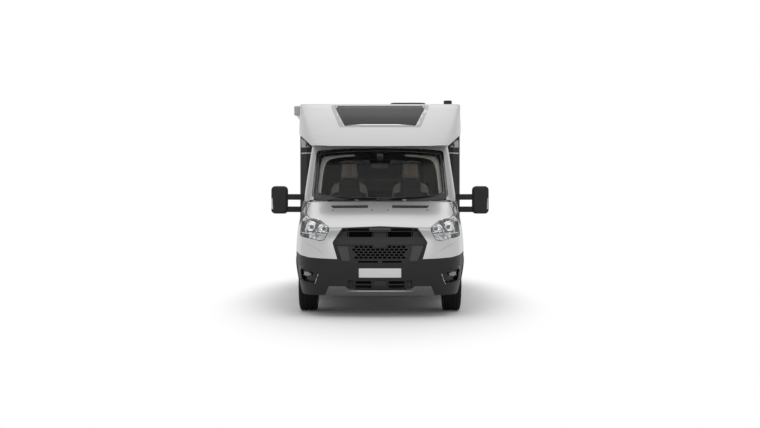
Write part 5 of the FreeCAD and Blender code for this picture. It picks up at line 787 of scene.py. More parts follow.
def tread_tyre(name, node, body):
    """A tyre as one closed section with grooves, blocks cut into the shoulders and a raised bead."""
    low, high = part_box(node)
    centre = (Vector(low) + Vector(high)) / 2
    inside_x, inside_r = 0.0008, 0.0006
    half, radius = (high[0] - low[0]) / 2 - inside_x, (high[2] - low[2]) / 2 - inside_r
    inner = 0.2036
    # half section from the bead out: share of the half width, radius, whether a block cut lowers it
    section = [(0.74, inner + 0.002, 0), (0.86, inner + 0.004, 0), (0.9, inner + 0.016, 0),
        (0.955, inner + 0.04, 0), (0.985, inner + 0.066, 0), (1.0, inner + 0.082, 0),
        (0.992, inner + 0.0835, 0), (0.998, inner + 0.086, 0), (0.975, radius - 0.034, 0),
        (0.94, radius - 0.02, 1), (0.895, radius - 0.0095, 1), (0.835, radius - 0.0035, 1),
        (0.7, radius - 0.001, 1), (0.5, radius - 0.0004, 1), (0.485, radius - 0.009, 0),
        (0.425, radius - 0.009, 0), (0.41, radius - 0.0002, 2), (0.1, radius, 2), (0.085, radius - 0.009, 0),
        (0.0, radius - 0.009, 0)]
    full = [(-u, r, c) for u, r, c in section] + [(u, r, c) for u, r, c in reversed(section[:-1])]
    turns, pitch, block_notch, rib_notch = 144, 3, 0.0068, 0.0045
    verts, faces = [], []
    for k in range(turns):
        for u, r, cut in full:
            shift = 1 if u > 0 else 0
            turn = 2 * math.pi * (k + (0.7 if u > 0 else 0) + (0.5 * abs(u) if cut else 0)) / turns
            if cut == 1 and (k + shift) % pitch == 0:
                r -= block_notch
            elif cut == 2 and k % (2 * pitch) == 0:
                r -= rib_notch
            verts.append(centre + Vector((u * half, math.cos(turn) * r, math.sin(turn) * r)))
    n = len(full)
    for k in range(turns):
        for i in range(n - 1):
            a, b = k * n + i, k * n + i + 1
            c, d = (k + 1) % turns * n + i + 1, (k + 1) % turns * n + i
            faces.append((a, b, c, d))
        a, b = k * n, k * n + n - 1
        faces.append((b, a, (k + 1) % turns * n, (k + 1) % turns * n + n - 1))
    return piece(name, verts, faces, RUBBER, body, angle=28, taken=[node])


def dress_wheels():
    """Treads, nuts, hub caps, rim steps and valves."""
    nuts_r, step_r = 0.075, 0.186
    for end in ("front", "rear"):
        for side, sign in SIDES:
            body = f"wheel_{end}_{side}"
            rim, tyre = f"rim_{end}_{side}", f"tyre_{end}_{side}"
            tread_tyre(f"tread_{end}_{side}", tyre, body)
            low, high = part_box(rim)
            centre = (Vector(low) + Vector(high)) / 2
            out = X * sign
            # the rim's flange, found where the nuts go and between them
            spots = [cast(side, centre.y + nuts_r * math.cos(0.2 * k), centre.z + nuts_r * math.sin(0.2 * k),
                [rim])[0] for k in range(31)]
            face_x = max(spot.x * sign for spot in spots if spot is not None) * sign
            for k in range(5):
                turn = 2 * math.pi * k / 5 + 0.3
                y, z = centre.y + nuts_r * math.cos(turn), centre.z + nuts_r * math.sin(turn)
                place = Vector((face_x, y, z))
                lathe(f"nut_{end}_{side}_{k}", [(0.0, 0.017), (0.007, 0.0165), (0.0105, 0.013),
                    (0.0115, 0.003), (0.015, 0.001), (0.0155, -0.003)], place, out, STEEL, body, 12)
            place = Vector((face_x, centre.y, centre.z))
            lathe(f"hub_cap_{end}_{side}", [(0.0, 0.006), (0.03, 0.0055), (0.046, 0.004), (0.05, 0.001),
                (0.052, -0.003)], place, out, BLACK, body)
            ring = [(centre.y + step_r * math.cos(a), centre.z + step_r * math.sin(a))
                for a in [2 * math.pi * k / 48 for k in range(48)]]
            bead(f"rim_step_{end}_{side}", ring, side, [rim], RIM, 0.007, 0.005, closed=True, step=0.05,
                body=body)
            y, z = centre.y - 0.150, centre.z - 0.02
            place, _ = cast(side, y, z, [rim])
            if place is not None:
                lathe(f"valve_{end}_{side}", [(0.0, 0.024), (0.0035, 0.0235), (0.0035, 0.01), (0.005, 0.008),
                    (0.0055, -0.002)], place, out, SEAL, body, 12)


# Cab inside


def puffed(name, half, middle, made, displacement, turn=0.0, pull=(), taper=1.0, wings=0.0, flat=False,
           shoulder=1.0, voxel=0.008):
    """A cushion from a crowned block: swollen by Cloth, its movement capped, then eased once."""
    last_frame, pressure, stiffness, bending, quality = 20, 4.0, 15, 2.0, 3
    corner_in, crowned, wing_from, wing_width = 0.10, 0.22, 0.62, 0.38
    hx, hy, hz = (half[0], half[2], half[1]) if flat else half
    turn = turn + (math.pi / 2 if flat else 0.0)
    work = bmesh.new()
    bmesh.ops.create_cube(work, size=2.0)
    bmesh.ops.subdivide_edges(work, edges=work.edges[:], cuts=9, use_grid_fill=True)
    for vertex in work.verts:
        x, y, z = vertex.co
        round_off = 1 - corner_in * (x * x * z * z)
        crown = 1 - crowned * max(abs(x), abs(z)) ** 4
        width = 1 + (taper - 1) * (z + 1) / 2
        if z > 0.5:
            # the top corners are quarter rounds
            width *= shoulder + (1 - shoulder) * math.sqrt(max(0.0, 1 - (2 * z - 1) ** 2))
        side = wings * max(0.0, abs(x) - wing_from) / wing_width
        vertex.co = Vector((x * hx * round_off * width, y * hy * crown - side, z * hz * round_off))
    mesh = bpy.data.meshes.new(name)
    work.to_mesh(mesh)
    work.free()
    obj = bpy.data.objects.new(name, mesh)
    bpy.context.collection.objects.link(obj)
    remesh = obj.modifiers.new("voxels", "REMESH")
    remesh.mode, remesh.voxel_size = "VOXEL", voxel
    apply_all(obj)
    before = [v.co.copy() for v in obj.data.vertices]
    cloth = obj.modifiers.new("cloth", "CLOTH")
    cloth.settings.use_pressure = True
    cloth.settings.uniform_pressure_force = pressure
    cloth.settings.quality = quality
    cloth.settings.effector_weights.gravity = 0
    cloth.settings.tension_stiffness = cloth.settings.compression_stiffness = stiffness
    cloth.settings.bending_stiffness = bending
    cloth.point_cache.frame_start, cloth.point_cache.frame_end = 1, last_frame
    for frame_number in range(1, last_frame + 1):
        bpy.context.scene.frame_set(frame_number)
    apply_all(obj)
    for vertex, old in zip(obj.data.vertices, before):
        move = vertex.co - old
        if move.length > displacement:
            vertex.co = old + move.normalized() * displacement
    bpy.context.scene.frame_set(1)
    # sewn channels: the surface is drawn in along each line, in the cushion's own plane
    for axis, place, width, depth in pull:
        for vertex in obj.data.vertices:
            gap = abs(vertex.co[axis] - place) / width
            if gap < 1:
                vertex.co.y *= 1 - depth * (1 - gap * gap) ** 2
    lean = Matrix.Rotation(turn, 3, "X")
    for vertex in obj.data.vertices:
        vertex.co = Vector(middle) + lean @ vertex.co
    sub = obj.modifiers.new("ease", "SUBSURF")
    sub.levels = sub.render_levels = 1
    apply_all(obj)
    obj.data.materials.append(made)
    for face in obj.data.polygons:
        face.use_smooth = True
    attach(obj, "vehicle")
    return obj


def apply_all(obj):
    """Replaces the mesh by what its modifiers make of it."""
    ready = bpy.context.evaluated_depsgraph_get()
    mesh = bpy.data.meshes.new_from_object(obj.evaluated_get(ready))
    obj.modifiers.clear()
    obj.data = mesh


def dress_seats():
    """Each seat: squab, back with two bolsters and a dark insert, and a headrest, all padded."""
    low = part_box("seat_cushions")[0]
    front, floor, seat_x = low[1], low[2], 0.44
    lean = -math.atan2(0.11, 0.702)
    for side, sign in SIDES:
        x = seat_x * sign
        kept = [puffed(f"seat_squab_{side}", (0.238, 0.19, 0.046), (x, front + 0.2, floor + 0.056), CLOTH,
            0.024, pull=((0, -0.15, 0.016, 0.16), (0, 0.15, 0.016, 0.16)), flat=True)]
        # points of the back, given along its lean from the seat's pivot
        pivot = Vector((x, front + 0.40, 0.96))

        def up_back(across, along, forward):
            return pivot + Matrix.Rotation(lean, 3, "X") @ Vector((across, -forward, along))

        kept.append(puffed(f"seat_back_{side}", (0.284, 0.028, 0.345), up_back(0, 0.462, 0.034), CLOTH,
            0.018, turn=lean, wings=0.012, shoulder=0.6))
        kept.append(puffed(f"seat_insert_{side}", (0.168, 0.017, 0.35), up_back(0, 0.468, 0.078), CLOTH_DARK,
            0.01, turn=lean, pull=((2, -0.1, 0.012, 0.35), (2, 0.06, 0.012, 0.35), (2, 0.2, 0.012, 0.35)),
            taper=0.98))
        kept.append(puffed(f"seat_back_low_{side}", (0.276, 0.018, 0.252), up_back(0, 0.372, 0.072),
            CLOTH_DARK, 0.01, turn=lean, pull=((2, -0.1, 0.012, 0.35), (2, 0.06, 0.012, 0.35))))
        kept.append(puffed(f"headrest_{side}", (0.14, 0.026, 0.138), up_back(0, 0.946, 0.03), CLOTH, 0.018,
            turn=lean, taper=0.8))
        kept.append(puffed(f"headrest_insert_{side}", (0.05, 0.012, 0.11), up_back(0, 0.94, 0.064),
            CLOTH_BROWN, 0.006, turn=lean, taper=0.9))
        for obj in kept:
            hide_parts("seat_cushions")
        for k in (-1, 1):
            tube(f"headrest_post_{side}_{k}", [up_back(0.06 * k, 0.77, 0.035),
                up_back(0.06 * k, 0.85, 0.035)], 0.006, BLACK, rounds=0)
        inner = x - sign * 0.262
        x0, x1 = sorted((inner, inner - sign * 0.045))
        block(f"seat_arm_{side}", (x0, front + 0.12, 1.215), (x1, front + 0.42, 1.27), CLOTH_DARK,
            bevel=0.02, segments=4)
        # the belt runs from the pillar side over the back
        outer = x + sign * 0.235
        top, foot = Vector((outer, front + 0.5, 1.7)), Vector((outer, front + 0.42, 1.02))
        belt = [top.lerp(foot, k / 8) for k in range(9)]
        sweep_along(f"belt_{side}", belt, [Vector((0, -1, 0.2))] * 9, CLOTH_DARK, 0.046, 0.002)


def dress_dash():
    """Instruments, screen, vents, glove box, gear lever and horn pad."""
    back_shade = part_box("dashboard")[1][1]
    # instrument hood over the wheel, a screen without words, vents and a glove box lid
    hood = [(0.24, 1.325, 0.03), (0.64, 1.325, 0.03), (0.60, 1.385, 0.04), (0.28, 1.385, 0.04)]
    prism("instrument_hood", hood, lambda u, v, w: Vector((u, back_shade - 0.16 + w, v)), DASH, 0.15, bevel=0.012,
        segments=3)
    prism("instrument_glass", [(0.27, 1.332, 0.02), (0.61, 1.332, 0.02), (0.585, 1.374, 0.03),
        (0.295, 1.374, 0.03)], lambda u, v, w: Vector((u, back_shade - 0.0098 + w, v)), PIANO, 0.003)
    prism("dash_screen", [(-0.115, 1.3, 0.012), (0.115, 1.3, 0.012), (0.115, 1.435, 0.012),
        (-0.115, 1.435, 0.012)], lambda u, v, w: Vector((u, back_shade - 0.1 + w, v)), PIANO, 0.018,
        bevel=0.004)
    block("dash_console", (-0.13, back_shade - 0.06, 0.97), (0.13, back_shade + 0.015, 1.29), DASH, bevel=0.02,
        segments=4, taper=(0.12, 0))
    for k, x in enumerate((-0.76, -0.19, 0.19, 0.76)):
        for j in range(5):
            z = 1.245 - 0.014 * j
            block(f"dash_vent_{k}_{j}", (x - 0.055, back_shade - 0.03, z), (x + 0.055, back_shade + 0.002, z + 0.007),
                BLACK, bevel=0.002)
    block("glove_lid", (-0.7, back_shade - 0.03, 1.02), (-0.26, back_shade + 0.008, 1.19), DASH, bevel=0.015)
    block("glove_catch", (-0.52, back_shade + 0.004, 1.155), (-0.44, back_shade + 0.016, 1.175), SATIN, bevel=0.004)
    tube("gear_lever", [(0.03, back_shade - 0.01, 1.02), (0.03, back_shade + 0.06, 1.06), (0.03, back_shade + 0.085, 1.13)],
        0.008, CHROME)
    lathe("gear_knob", [(0.0, 0.046), (0.014, 0.044), (0.024, 0.032), (0.026, 0.018), (0.016, 0.0),
        (0.009, -0.006)], (0.03, back_shade + 0.085, 1.125), Z, DASH, turns=20)
    spokes, column = Vector((0.44, -1.735, 1.18)), math.radians(40)
    axis = Vector((0, math.cos(column), math.sin(column)))
    lathe("horn_pad", [(0.0, 0.03), (0.035, 0.028), (0.062, 0.018), (0.072, 0.004), (0.07, -0.02)], spokes,
        axis, DASH, "steering_wheel", 28)


def dress_cab_trim():
    """Pale pillar trims and headliner bands, visible through the windscreen's corners."""
    glass = ["windscreen"]
    for side, sign in SIDES:
        strip = mirrored(sign, [(0.842, 1.515), (0.838, 1.7), (0.828, 1.9), (0.812, 2.03), (0.78, 2.075),
            (0.68, 2.088), (0.52, 2.098), (0.36, 2.104)])
        edge = mirrored(sign, [(0.79, 1.545), (0.785, 1.7), (0.772, 1.88), (0.745, 1.985), (0.69, 2.03),
            (0.6, 2.052), (0.48, 2.068), (0.335, 2.076)])
        outline = [(u, v, 0.01) for u, v in strip] + [(u, v, 0.01) for u, v in reversed(edge)]
        patch(f"pillar_trim_{side}", outline, "front", glass, TRIM, lift=-0.045, solid=0.004, step=0.04)
        visor = mirrored(sign, [(0.14, 2.035, 0.02), (0.56, 2.02, 0.03), (0.56, 1.985, 0.01),
            (0.14, 2.0, 0.01)])
        patch(f"visor_{side}", visor, "front", glass, CLOTH_DARK, lift=-0.07, solid=0.012, step=0.05)


dress_wheels()
dress_seats()
dress_dash()
dress_cab_trim()


# Sides, rear and roof

OPENINGS = {
    "dinette": (-0.595, 1.500, 0.305, 2.050),
    "kitchen": (0.555, 1.560, 1.255, 2.050),
    "bed": (2.405, 1.850, 3.105, 2.200),
}
BODY_SKIN = ["wall_left", "wall_right", "house_windows"]


def frame_of(box, grow, r):
    """The corners of a box of (u, v) limits, grown on every side."""
    u0, v0, u1, v1 = box
    return [(u0 - grow, v0 - grow, r), (u1 + grow, v0 - grow, r), (u1 + grow, v1 + grow, r),
        (u0 - grow, v1 + grow, r)]


def house_window(tag, box, side, skin):
    """A window's frame, its domed pane and the rail over it."""
    bead(f"window_frame_{tag}", frame_of(box, 0.008, 0.055), side, skin, SEAL, 0.03, 0.009, closed=True,
        step=0.03)
    patch(f"window_dome_{tag}", frame_of(box, -0.012, 0.04), side, ["house_windows"], ACRYLIC, lift=0.006,
        solid=0.004, step=0.08, bevel=0.003)
    left, right, top = box[0] + 0.02, box[2] - 0.02, box[3] + 0.018
    bead(f"window_rail_{tag}", [(left, top), (right, top)], side, skin, ALLOY, 0.016, 0.012, step=0.1)


def dress_windows():
    """The living body's windows, where the walls have one."""
    for side, sign in SIDES:
        for tag, box in OPENINGS.items():
            place, _ = cast(side, (box[0] + box[2]) / 2, (box[1] + box[3]) / 2, ["house_windows"])
            # a ray that misses this side's window meets the other wall's, or none
            if place is not None and place.x * sign > 1.1:
                house_window(f"{tag}_{side}", box, side, BODY_SKIN)
    house_window("rear", (-0.45, 1.90, 0.45, 2.30), "rear", ["wall_rear", "house_windows"])


def lock(name, side, u, v, names, body, wide=0.07, high=0.034):
    """A lock's plate, barrel and lever."""
    patch(f"{name}_plate", frame_of((u - wide / 2, v - high / 2, u + wide / 2, v + high / 2), 0, 0.01), side,
        names, BLACK, lift=0.005, solid=0.0045, body=body, bevel=0.002)
    place, normal = cast(side, u - wide * 0.26, v, names)
    lathe(f"{name}_barrel", [(0.0, 0.0075), (0.005, 0.0075), (0.0085, 0.0065), (0.009, 0.003)], place,
        normal, CHROME, body, 16)
    bead(f"{name}_lever", [(u - wide * 0.02, v), (u + wide * 0.2, v), (u + wide * 0.4, v)], side, names,
        BLACK, 0.016, 0.014, step=0.01, body=body, sink=0.0)


def dress_house_doors():
    """Seals, pane frame, locks and panels of the entry and garage doors."""
    door, pane = (-0.375, 0.640, 0.265, 2.480), (-0.235, 1.750, 0.125, 2.250)
    skin = ["entry_door", "entry_door_pane"]
    bead("entry_seal", frame_of(door, -0.012, 0.045), "right", skin, SEAL, 0.008, 0.004, closed=True,
        step=0.05, body="entry_door")
    bead("entry_pane_frame", frame_of(pane, 0.006, 0.045), "right", skin, SEAL, 0.024, 0.008, closed=True,
        step=0.03, body="entry_door")
    lock("entry_lock", "right", 0.205, 1.45, skin, "entry_door", 0.085, 0.12)
    patch("entry_lower_panel", frame_of((-0.3, 0.74, 0.19, 1.2), 0, 0.05), "right", skin, WHITE, lift=0.003,
        solid=0.003, step=0.1, body="entry_door", bevel=0.0015)
    bead("entry_threshold", [(-0.36, 0.618), (0.25, 0.618)], "right", ["wall_right"], ALLOY, 0.022, 0.01,
        step=0.1)
    patch("porch_lamp", frame_of((-0.2, 2.56, 0.1, 2.595), 0, 0.012), "right", ["wall_right"], LENS_WHITE,
        lift=0.014, solid=0.014, bevel=0.004)
    garage = (2.065, 0.660, 3.165, 1.480)
    for side in ("left", "right"):
        body, node = f"garage_door_{side}", [f"garage_door_{side}"]
        bead(f"garage_seal_{side}", frame_of(garage, -0.012, 0.045), side, node, SEAL, 0.008, 0.004,
            closed=True, step=0.05, body=body)
        for k, v in enumerate((0.86, 1.28)):
            lock(f"garage_lock_{side}_{k}", side, 3.085, v, node, body)


def dress_fittings():
    """Markers, rails, arches, room floor, vents, inlets and the awning's ends."""
    for side in ("left", "right"):
        wall = [f"wall_{side}"]
        for k, y in enumerate((-0.70, 0.50, 2.05, 3.05)):
            patch(f"side_marker_{side}_{k}", frame_of((y - 0.045, 0.4, y + 0.045, 0.428), 0, 0.012), side,
                ["house_skirts"], AMBER, lift=0.01, solid=0.01, bevel=0.004)
        bead(f"skirt_rail_{side}", [(y, 0.486) for y in (-0.99, -0.4, 0.2, 0.78)], side, wall, ALLOY, 0.018,
            0.008, step=0.12)
        bead(f"skirt_rail_rear_{side}", [(y, 0.486) for y in (1.73, 2.4, 3.0, 3.4)], side, wall, ALLOY,
            0.018, 0.008, step=0.12)
        arch = [(0.803, 0.5), (0.803, 0.68), (0.83, 0.765), (0.9, 0.802), (1.255, 0.805), (1.61, 0.802),
            (1.68, 0.765), (1.707, 0.68), (1.707, 0.5)]
        bead(f"arch_trim_rear_{side}", arch, side, wall, GRAINED, 0.03, 0.014, step=0.03)
        edge = [(u, 2.828) for u in (-0.96, 0, 1.0, 2.0, 3.38)]
        bead(f"roof_rail_{side}", edge, side, ["house_roof"] + wall, ALLOY, 0.02, 0.01, step=0.15)
    half = [(1.11, -0.95), (1.11, 0.72), (0.80, 0.72), (0.80, 1.80), (1.11, 1.80), (1.11, 3.38)]
    room = [(x, y, 0.01) for x, y in half] + [(-x, y, 0.01) for x, y in reversed(half)]
    patch("room_floor", room, "top", ["house_floor"], WOOD, lift=0.002, solid=0.003, step=0.1)
    for side, sign in SIDES:
        # the wheel boxes are lined in black, and a profile closes the joint behind the cap
        ring = arc_corners([(0.838, 0.40, 0), (1.672, 0.40, 0), (1.672, 0.786, 0.10), (0.838, 0.786, 0.10)])
        tunnel = [p for p in ring if p[1] > 0.401]
        tunnel = [Vector((1.672, 0.47))] + tunnel + [Vector((0.838, 0.47))]
        xs = [sign * x for x in (0.842, 0.90, 1.0, 1.122)]
        verts = [(x, p[0], p[1]) for x in xs for p in tunnel]
        n = len(tunnel)
        faces = [(a * n + i, a * n + i + 1, (a + 1) * n + i + 1, (a + 1) * n + i) for a in range(3)
            for i in range(n - 1)]
        faces.append(tuple(range(n)))
        piece(f"rear_arch_liner_{side}", verts, faces, LINER, solid=0.003, offset=0)
        x0, x1 = sorted((sign * 1.128, sign * 1.1575))
        block(f"cap_joint_{side}", (x0, -1.0955, 2.394), (x1, -1.0125, 2.8), WHITE, bevel=0.004)
    lathe("water_filler", [(0.0, 0.014), (0.03, 0.013), (0.036, 0.009), (0.038, 0.004), (0.052, 0.003),
        (0.054, -0.002)], cast("left", 0.5, 0.95, ["wall_left"])[0], X, BLACK)
    patch("power_inlet", frame_of((1.8, 0.9, 1.92, 1.02), 0, 0.02), "left", ["wall_left"], WHITE, lift=0.016,
        solid=0.016, step=0.06, bevel=0.005)
    patch("power_inlet_catch", frame_of((1.84, 0.905, 1.88, 0.918), 0, 0.005), "left", ["wall_left"], BLACK,
        lift=0.02, solid=0.006, bevel=0.002)
    for k, v in enumerate((0.98, 1.66)):
        box = (1.46, v, 1.92, v + 0.17)
        patch(f"fridge_vent_{k}", frame_of(box, 0, 0.02), "right", ["wall_right"], WHITE,
            [frame_of((1.485, v + 0.02, 1.895, v + 0.15), 0, 0.012)], lift=0.012, solid=0.012, step=0.08,
            bevel=0.004)
        # a near-black sheet behind the slats is painted shade inside the vent
        patch(f"fridge_vent_{k}_back", frame_of((1.475, v + 0.012, 1.905, v + 0.158), 0, 0.012), "right",
            ["wall_right"], SHADE_BLACK, solid=0.0008, step=0.1)
        for j in range(5):
            z = v + 0.034 + 0.026 * j
            bead(f"fridge_vent_{k}_slat_{j}", [(1.487, z), (1.69, z), (1.893, z)], "right", ["wall_right"],
                WHITE, 0.013, 0.02, step=0.1, sink=0.0)
    low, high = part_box("awning")
    for k, (v, w) in enumerate(((low[2] + 0.030, 0.010), (high[2] - 0.035, 0.006))):
        bead(f"awning_seam_{k}", [(low[1] + 0.03, v), (0.9, v), (high[1] - 0.03, v)], "right", ["awning"],
            BLACK, w, 0.003, step=0.2)
    out, over = 0.012, 0.030
    for tag, y0, y1 in (("front", low[1] - out, low[1] + over), ("rear", high[1] - over, high[1] + out)):
        block(f"awning_cap_{tag}", (low[0] - 0.003, y0, low[2] - 0.004),
            (high[0] - 0.001, y1, high[2] + 0.003), GREY_FRAME, bevel=0.028, segments=5)
    lathe("awning_eye", [(0.01, 0.0), (0.016, 0.004), (0.018, 0.014), (0.012, 0.02), (0.006, 0.018)],
        ((low[0] + high[0]) / 2, high[1] - 0.16, low[2] + 0.002), -Z, BLACK, turns=20)


def dress_cab_sides():
    """Cladding, handles, mirrors' glass, arch trims and repeaters."""
    axle_y, axle_z, arch_r, mirror_x = -2.495, 0.356, 0.44, 1.359
    for side, sign in SIDES:
        door, body = [f"cab_door_{side}"], f"cab_door_{side}"
        sill = [(-1.995, 0.515, 0.02), (-1.185, 0.515, 0.02), (-1.185, 0.690, 0.02), (-1.960, 0.700, 0.04)]
        patch(f"door_cladding_{side}", sill, side, door, GRAINED, lift=0.004, solid=0.004, step=0.06,
            body=body, bevel=0.002)
        recess = [(-1.385, 1.165, 0.02), (-1.205, 1.165, 0.02), (-1.205, 1.225, 0.02), (-1.385, 1.225, 0.02)]
        patch(f"handle_recess_{side}", recess, side, door, BLACK, lift=0.0008, solid=0.0006, body=body)
        bead(f"door_handle_{side}", [(y, 1.197) for y in (-1.375, -1.33, -1.28, -1.25, -1.215)], side, door,
            SILVER, 0.026, 0.03, step=0.012, body=body, sink=-0.05)
        glass = [f"cab_door_glass_{side}"]
        belt = [(-1.94, 1.418), (-1.60, 1.414), (-1.22, 1.412)]
        bead(f"door_belt_{side}", belt, side, door + glass, SEAL, 0.022, 0.01, step=0.05, body=body)
        arch = [(axle_y + arch_r * math.cos(a), axle_z + arch_r * math.sin(a))
            for a in [math.radians(8 + 164 * k / 40) for k in range(41)]]
        bead(f"arch_trim_front_{side}", arch, side, ["front_wings", "front_bumper", "cab_shell"], GRAINED,
            0.03, 0.012, step=0.03)
        patch(f"wing_repeater_{side}", frame_of((-2.13, 0.985, -2.06, 1.01), 0, 0.01), side, ["front_wings"],
            AMBER, lift=0.005, solid=0.005, step=0.02, bevel=0.002)
        mirror = [f"mirror_{side}"]
        for tag, v0, v1 in (("upper", 1.388, 1.612), ("lower", 1.278, 1.362)):
            box = (sign * mirror_x - 0.088, v0, sign * mirror_x + 0.088, v1)
            patch(f"mirror_glass_{tag}_{side}", frame_of(box, 0, 0.025), "rear", mirror, MIRROR,
                solid=0.0008, step=0.06, body=body)
        lens = mirrored(sign, [(1.44, 1.318, 0.004), (1.4665, 1.325, 0.004), (1.4665, 1.462, 0.004),
            (1.45, 1.47, 0.004)])
        patch(f"mirror_lens_{side}", lens, "front", mirror, LENS_WHITE, lift=0.0015, solid=0.002, step=0.02,
            body=body)


def dress_rear():
    """Lamp cells, reflectors, plate, camera and corner rails."""
    lamps = ["tail_lamps"]
    for side, sign in SIDES:
        box = (0.900, 0.560, 1.120, 0.900)
        outline = mirrored(sign, frame_of(box, -0.006, 0.02))
        bead(f"tail_bezel_{side}", outline, "rear", lamps, BLACK, 0.012, 0.007, closed=True, step=0.03)
        for tag, v0, v1, made in (("clear", 0.578, 0.640, LENS_WHITE), ("amber", 0.650, 0.715, AMBER)):
            shape = mirrored(sign, frame_of((0.916, v0, 1.104, v1), 0, 0.012))
            patch(f"tail_{tag}_{side}", shape, "rear", lamps, made, lift=0.0018, solid=0.0016,
                bevel=0.0008)
        for k, v in enumerate((0.768, 0.845)):
            place, _ = cast("rear", sign * 1.01, v, lamps)
            lathe(f"tail_ring_{side}_{k}", [(0.0, 0.0025), (0.014, 0.002), (0.022, 0.0), (0.026, 0.003),
                (0.031, 0.003), (0.034, -0.001)], place, Y, RED)
        reflector = mirrored(sign, frame_of((0.90, 0.345, 1.03, 0.385), 0, 0.008))
        patch(f"rear_reflector_{side}", reflector, "rear", ["rear_bumper"], RED, lift=0.0, solid=0.004)
        place, _ = cast("rear", sign * 1.08, 2.72, ["wall_rear"])
        lathe(f"top_marker_{side}", [(0.0, 0.016), (0.014, 0.015), (0.02, 0.009), (0.022, 0.0)], place, Y,
            RED, turns=24)
        bead(f"corner_rail_{side}", [(sign * 1.146, v) for v in (0.5, 1.2, 2.0, 2.76)], "rear",
            ["wall_rear"], ALLOY, 0.022, 0.008, step=0.2)
    # name, half width, low and high edge, corner radius, finish, how far it stands out, grid, bevel
    for name, half, v0, v1, r, made, out, step, bevel in (
            ("brake_lamp_high", 0.16, 2.64, 2.668, 0.01, RED, 0.014, 0.04, 0.004),
            ("rear_plate_holder", 0.268, 1.012, 1.14, 0.01, BLACK, 0.008, 0.08, 0.002),
            ("rear_plate_lamp", 0.07, 1.146, 1.166, 0.008, BLACK, 0.022, 0.03, 0.004),
            ("rear_camera", 0.05, 2.7, 2.75, 0.015, BLACK, 0.026, 0.03, 0.008)):
        patch(name, frame_of((-half, v0, half, v1), 0, r), "rear", ["wall_rear"], made, lift=out, solid=out,
            step=step, bevel=bevel)
    patch("rear_plate", frame_of((-0.26, 1.02, 0.26, 1.132), 0, 0.008), "rear", ["wall_rear"], PLATE,
        lift=0.0095, step=0.08)
    bead("rear_bumper_groove", [(-1.08, 0.43), (0, 0.43), (1.08, 0.43)], "rear", ["rear_bumper"], BLACK,
        0.01, 0.002, step=0.2, sink=0.45)


def dress_roof():
    """Ribs of the hatch lids and pressed lines of the roof."""
    for tag in ("front", "rear"):
        body = f"hatch_lid_{tag}"
        low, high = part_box(body)
        for k in range(3):
            y = low[1] + (high[1] - low[1]) * (0.28 + 0.22 * k)
            bead(f"hatch_rib_{tag}_{k}", [(low[0] + 0.07, y), ((low[0] + high[0]) / 2, y),
                (high[0] - 0.07, y)], "top", [body], ACRYLIC, 0.022, 0.005, step=0.05, body=body, taper=True)
    for k, y in enumerate((0.10, 0.95, 1.80)):
        bead(f"roof_press_{k}", [(-0.95, y), (0, y), (0.95, y)], "top", ["house_roof"], WHITE, 0.05, 0.004,
            step=0.2, taper=True, sink=0.45)


def cupboard(name, low, high, side, doors):
    """A furniture block with door panels let into the face that looks to the aisle."""
    block(name, low, high, PLY)
    face = high[0] if side == "right" else low[0]
    out = 1 if side == "right" else -1
    step = (high[1] - low[1]) / doors
    for k in range(doors):
        y0, y1 = low[1] + step * k + 0.012, low[1] + step * (k + 1) - 0.012
        x0, x1 = sorted((face, face + out * 0.010))
        block(f"{name}_door_{k}", (x0, y0, low[2] + 0.03), (x1, y1, high[2] - 0.03), WOOD_DOOR, bevel=0.004)
        near, far, z = face + out * 0.008, face + out * 0.022, high[2] - 0.09
        tube(f"{name}_grip_{k}", [(near, y1 - 0.14, z), (far, y1 - 0.13, z), (far, y1 - 0.05, z),
            (near, y1 - 0.04, z)], 0.004, SATIN)


def dress_room():
    """Kitchen, wardrobe, lockers, bench, table and mattress."""
    cupboard("kitchen_unit", (-1.118, 0.42, 0.63), (-0.62, 1.42, 1.47), "right", 3)
    block("kitchen_top", (-1.12, 0.4, 1.47), (-0.6, 1.44, 1.505), WORKTOP, bevel=0.008)
    lathe("kitchen_bowl", [(0.0, -0.02), (0.1, -0.018), (0.15, 0.002), (0.165, 0.006), (0.172, 0.001)],
        (-0.86, 0.7, 1.508), Z, CHROME, turns=36)
    tube("kitchen_tap", [(-1.06, 0.7, 1.505), (-1.06, 0.7, 1.66), (-1.0, 0.7, 1.7), (-0.92, 0.7, 1.66)],
        0.01, CHROME)
    cupboard("wardrobe", (0.70, 0.36, 0.63), (1.118, 1.40, 2.70), "left", 2)
    cupboard("locker_left", (0.80, -0.80, 2.22), (1.118, 0.34, 2.60), "left", 3)
    cupboard("locker_right", (-1.118, 0.42, 2.22), (-0.80, 1.42, 2.60), "right", 3)
    block("bench_box", (0.5, -0.15, 0.63), (1.118, 0.3, 1.02), PLY, bevel=0.01)
    block("table_top", (0.28, -0.8, 1.3), (1.1, -0.22, 1.33), WORKTOP, bevel=0.012, segments=4)
    lathe("table_leg", [(0.16, 0.0), (0.155, 0.012), (0.045, 0.022), (0.03, 0.05), (0.03, 0.6),
        (0.06, 0.665)], (0.66, -0.5, 0.632), Z, SATIN)
    puffed("bench_squab", (0.285, 0.195, 0.045), (0.80, 0.08, 1.075), CLOTH, 0.022, flat=True, voxel=0.010)
    puffed("mattress", (1.02, 0.66, 0.058), (0, 2.71, 1.61), LINEN, 0.022, flat=True, voxel=0.028,
        pull=((0, 0.0, 0.03, 0.25),))


dress_windows()
dress_house_doors()
dress_fittings()
dress_cab_sides()
dress_rear()
dress_roof()
dress_room()


# Floor, light and camera

# the world's strength for light, and how much its ceiling dims in gloss between two heights of the sky
WORLD_LIGHT, CEILING_DIM, CEILING_FROM = 0.37, 0.55, (0.30, 0.75)
# the floor's colour for light, its small glow where seen, and the ellipse at which it fades into white
FLOOR_LIT, FLOOR_LIFT, SHADOW_HALF, SHADOW_FADE = 0.80, 0.02, (1.3, 3.6), (1.05, 1.9)
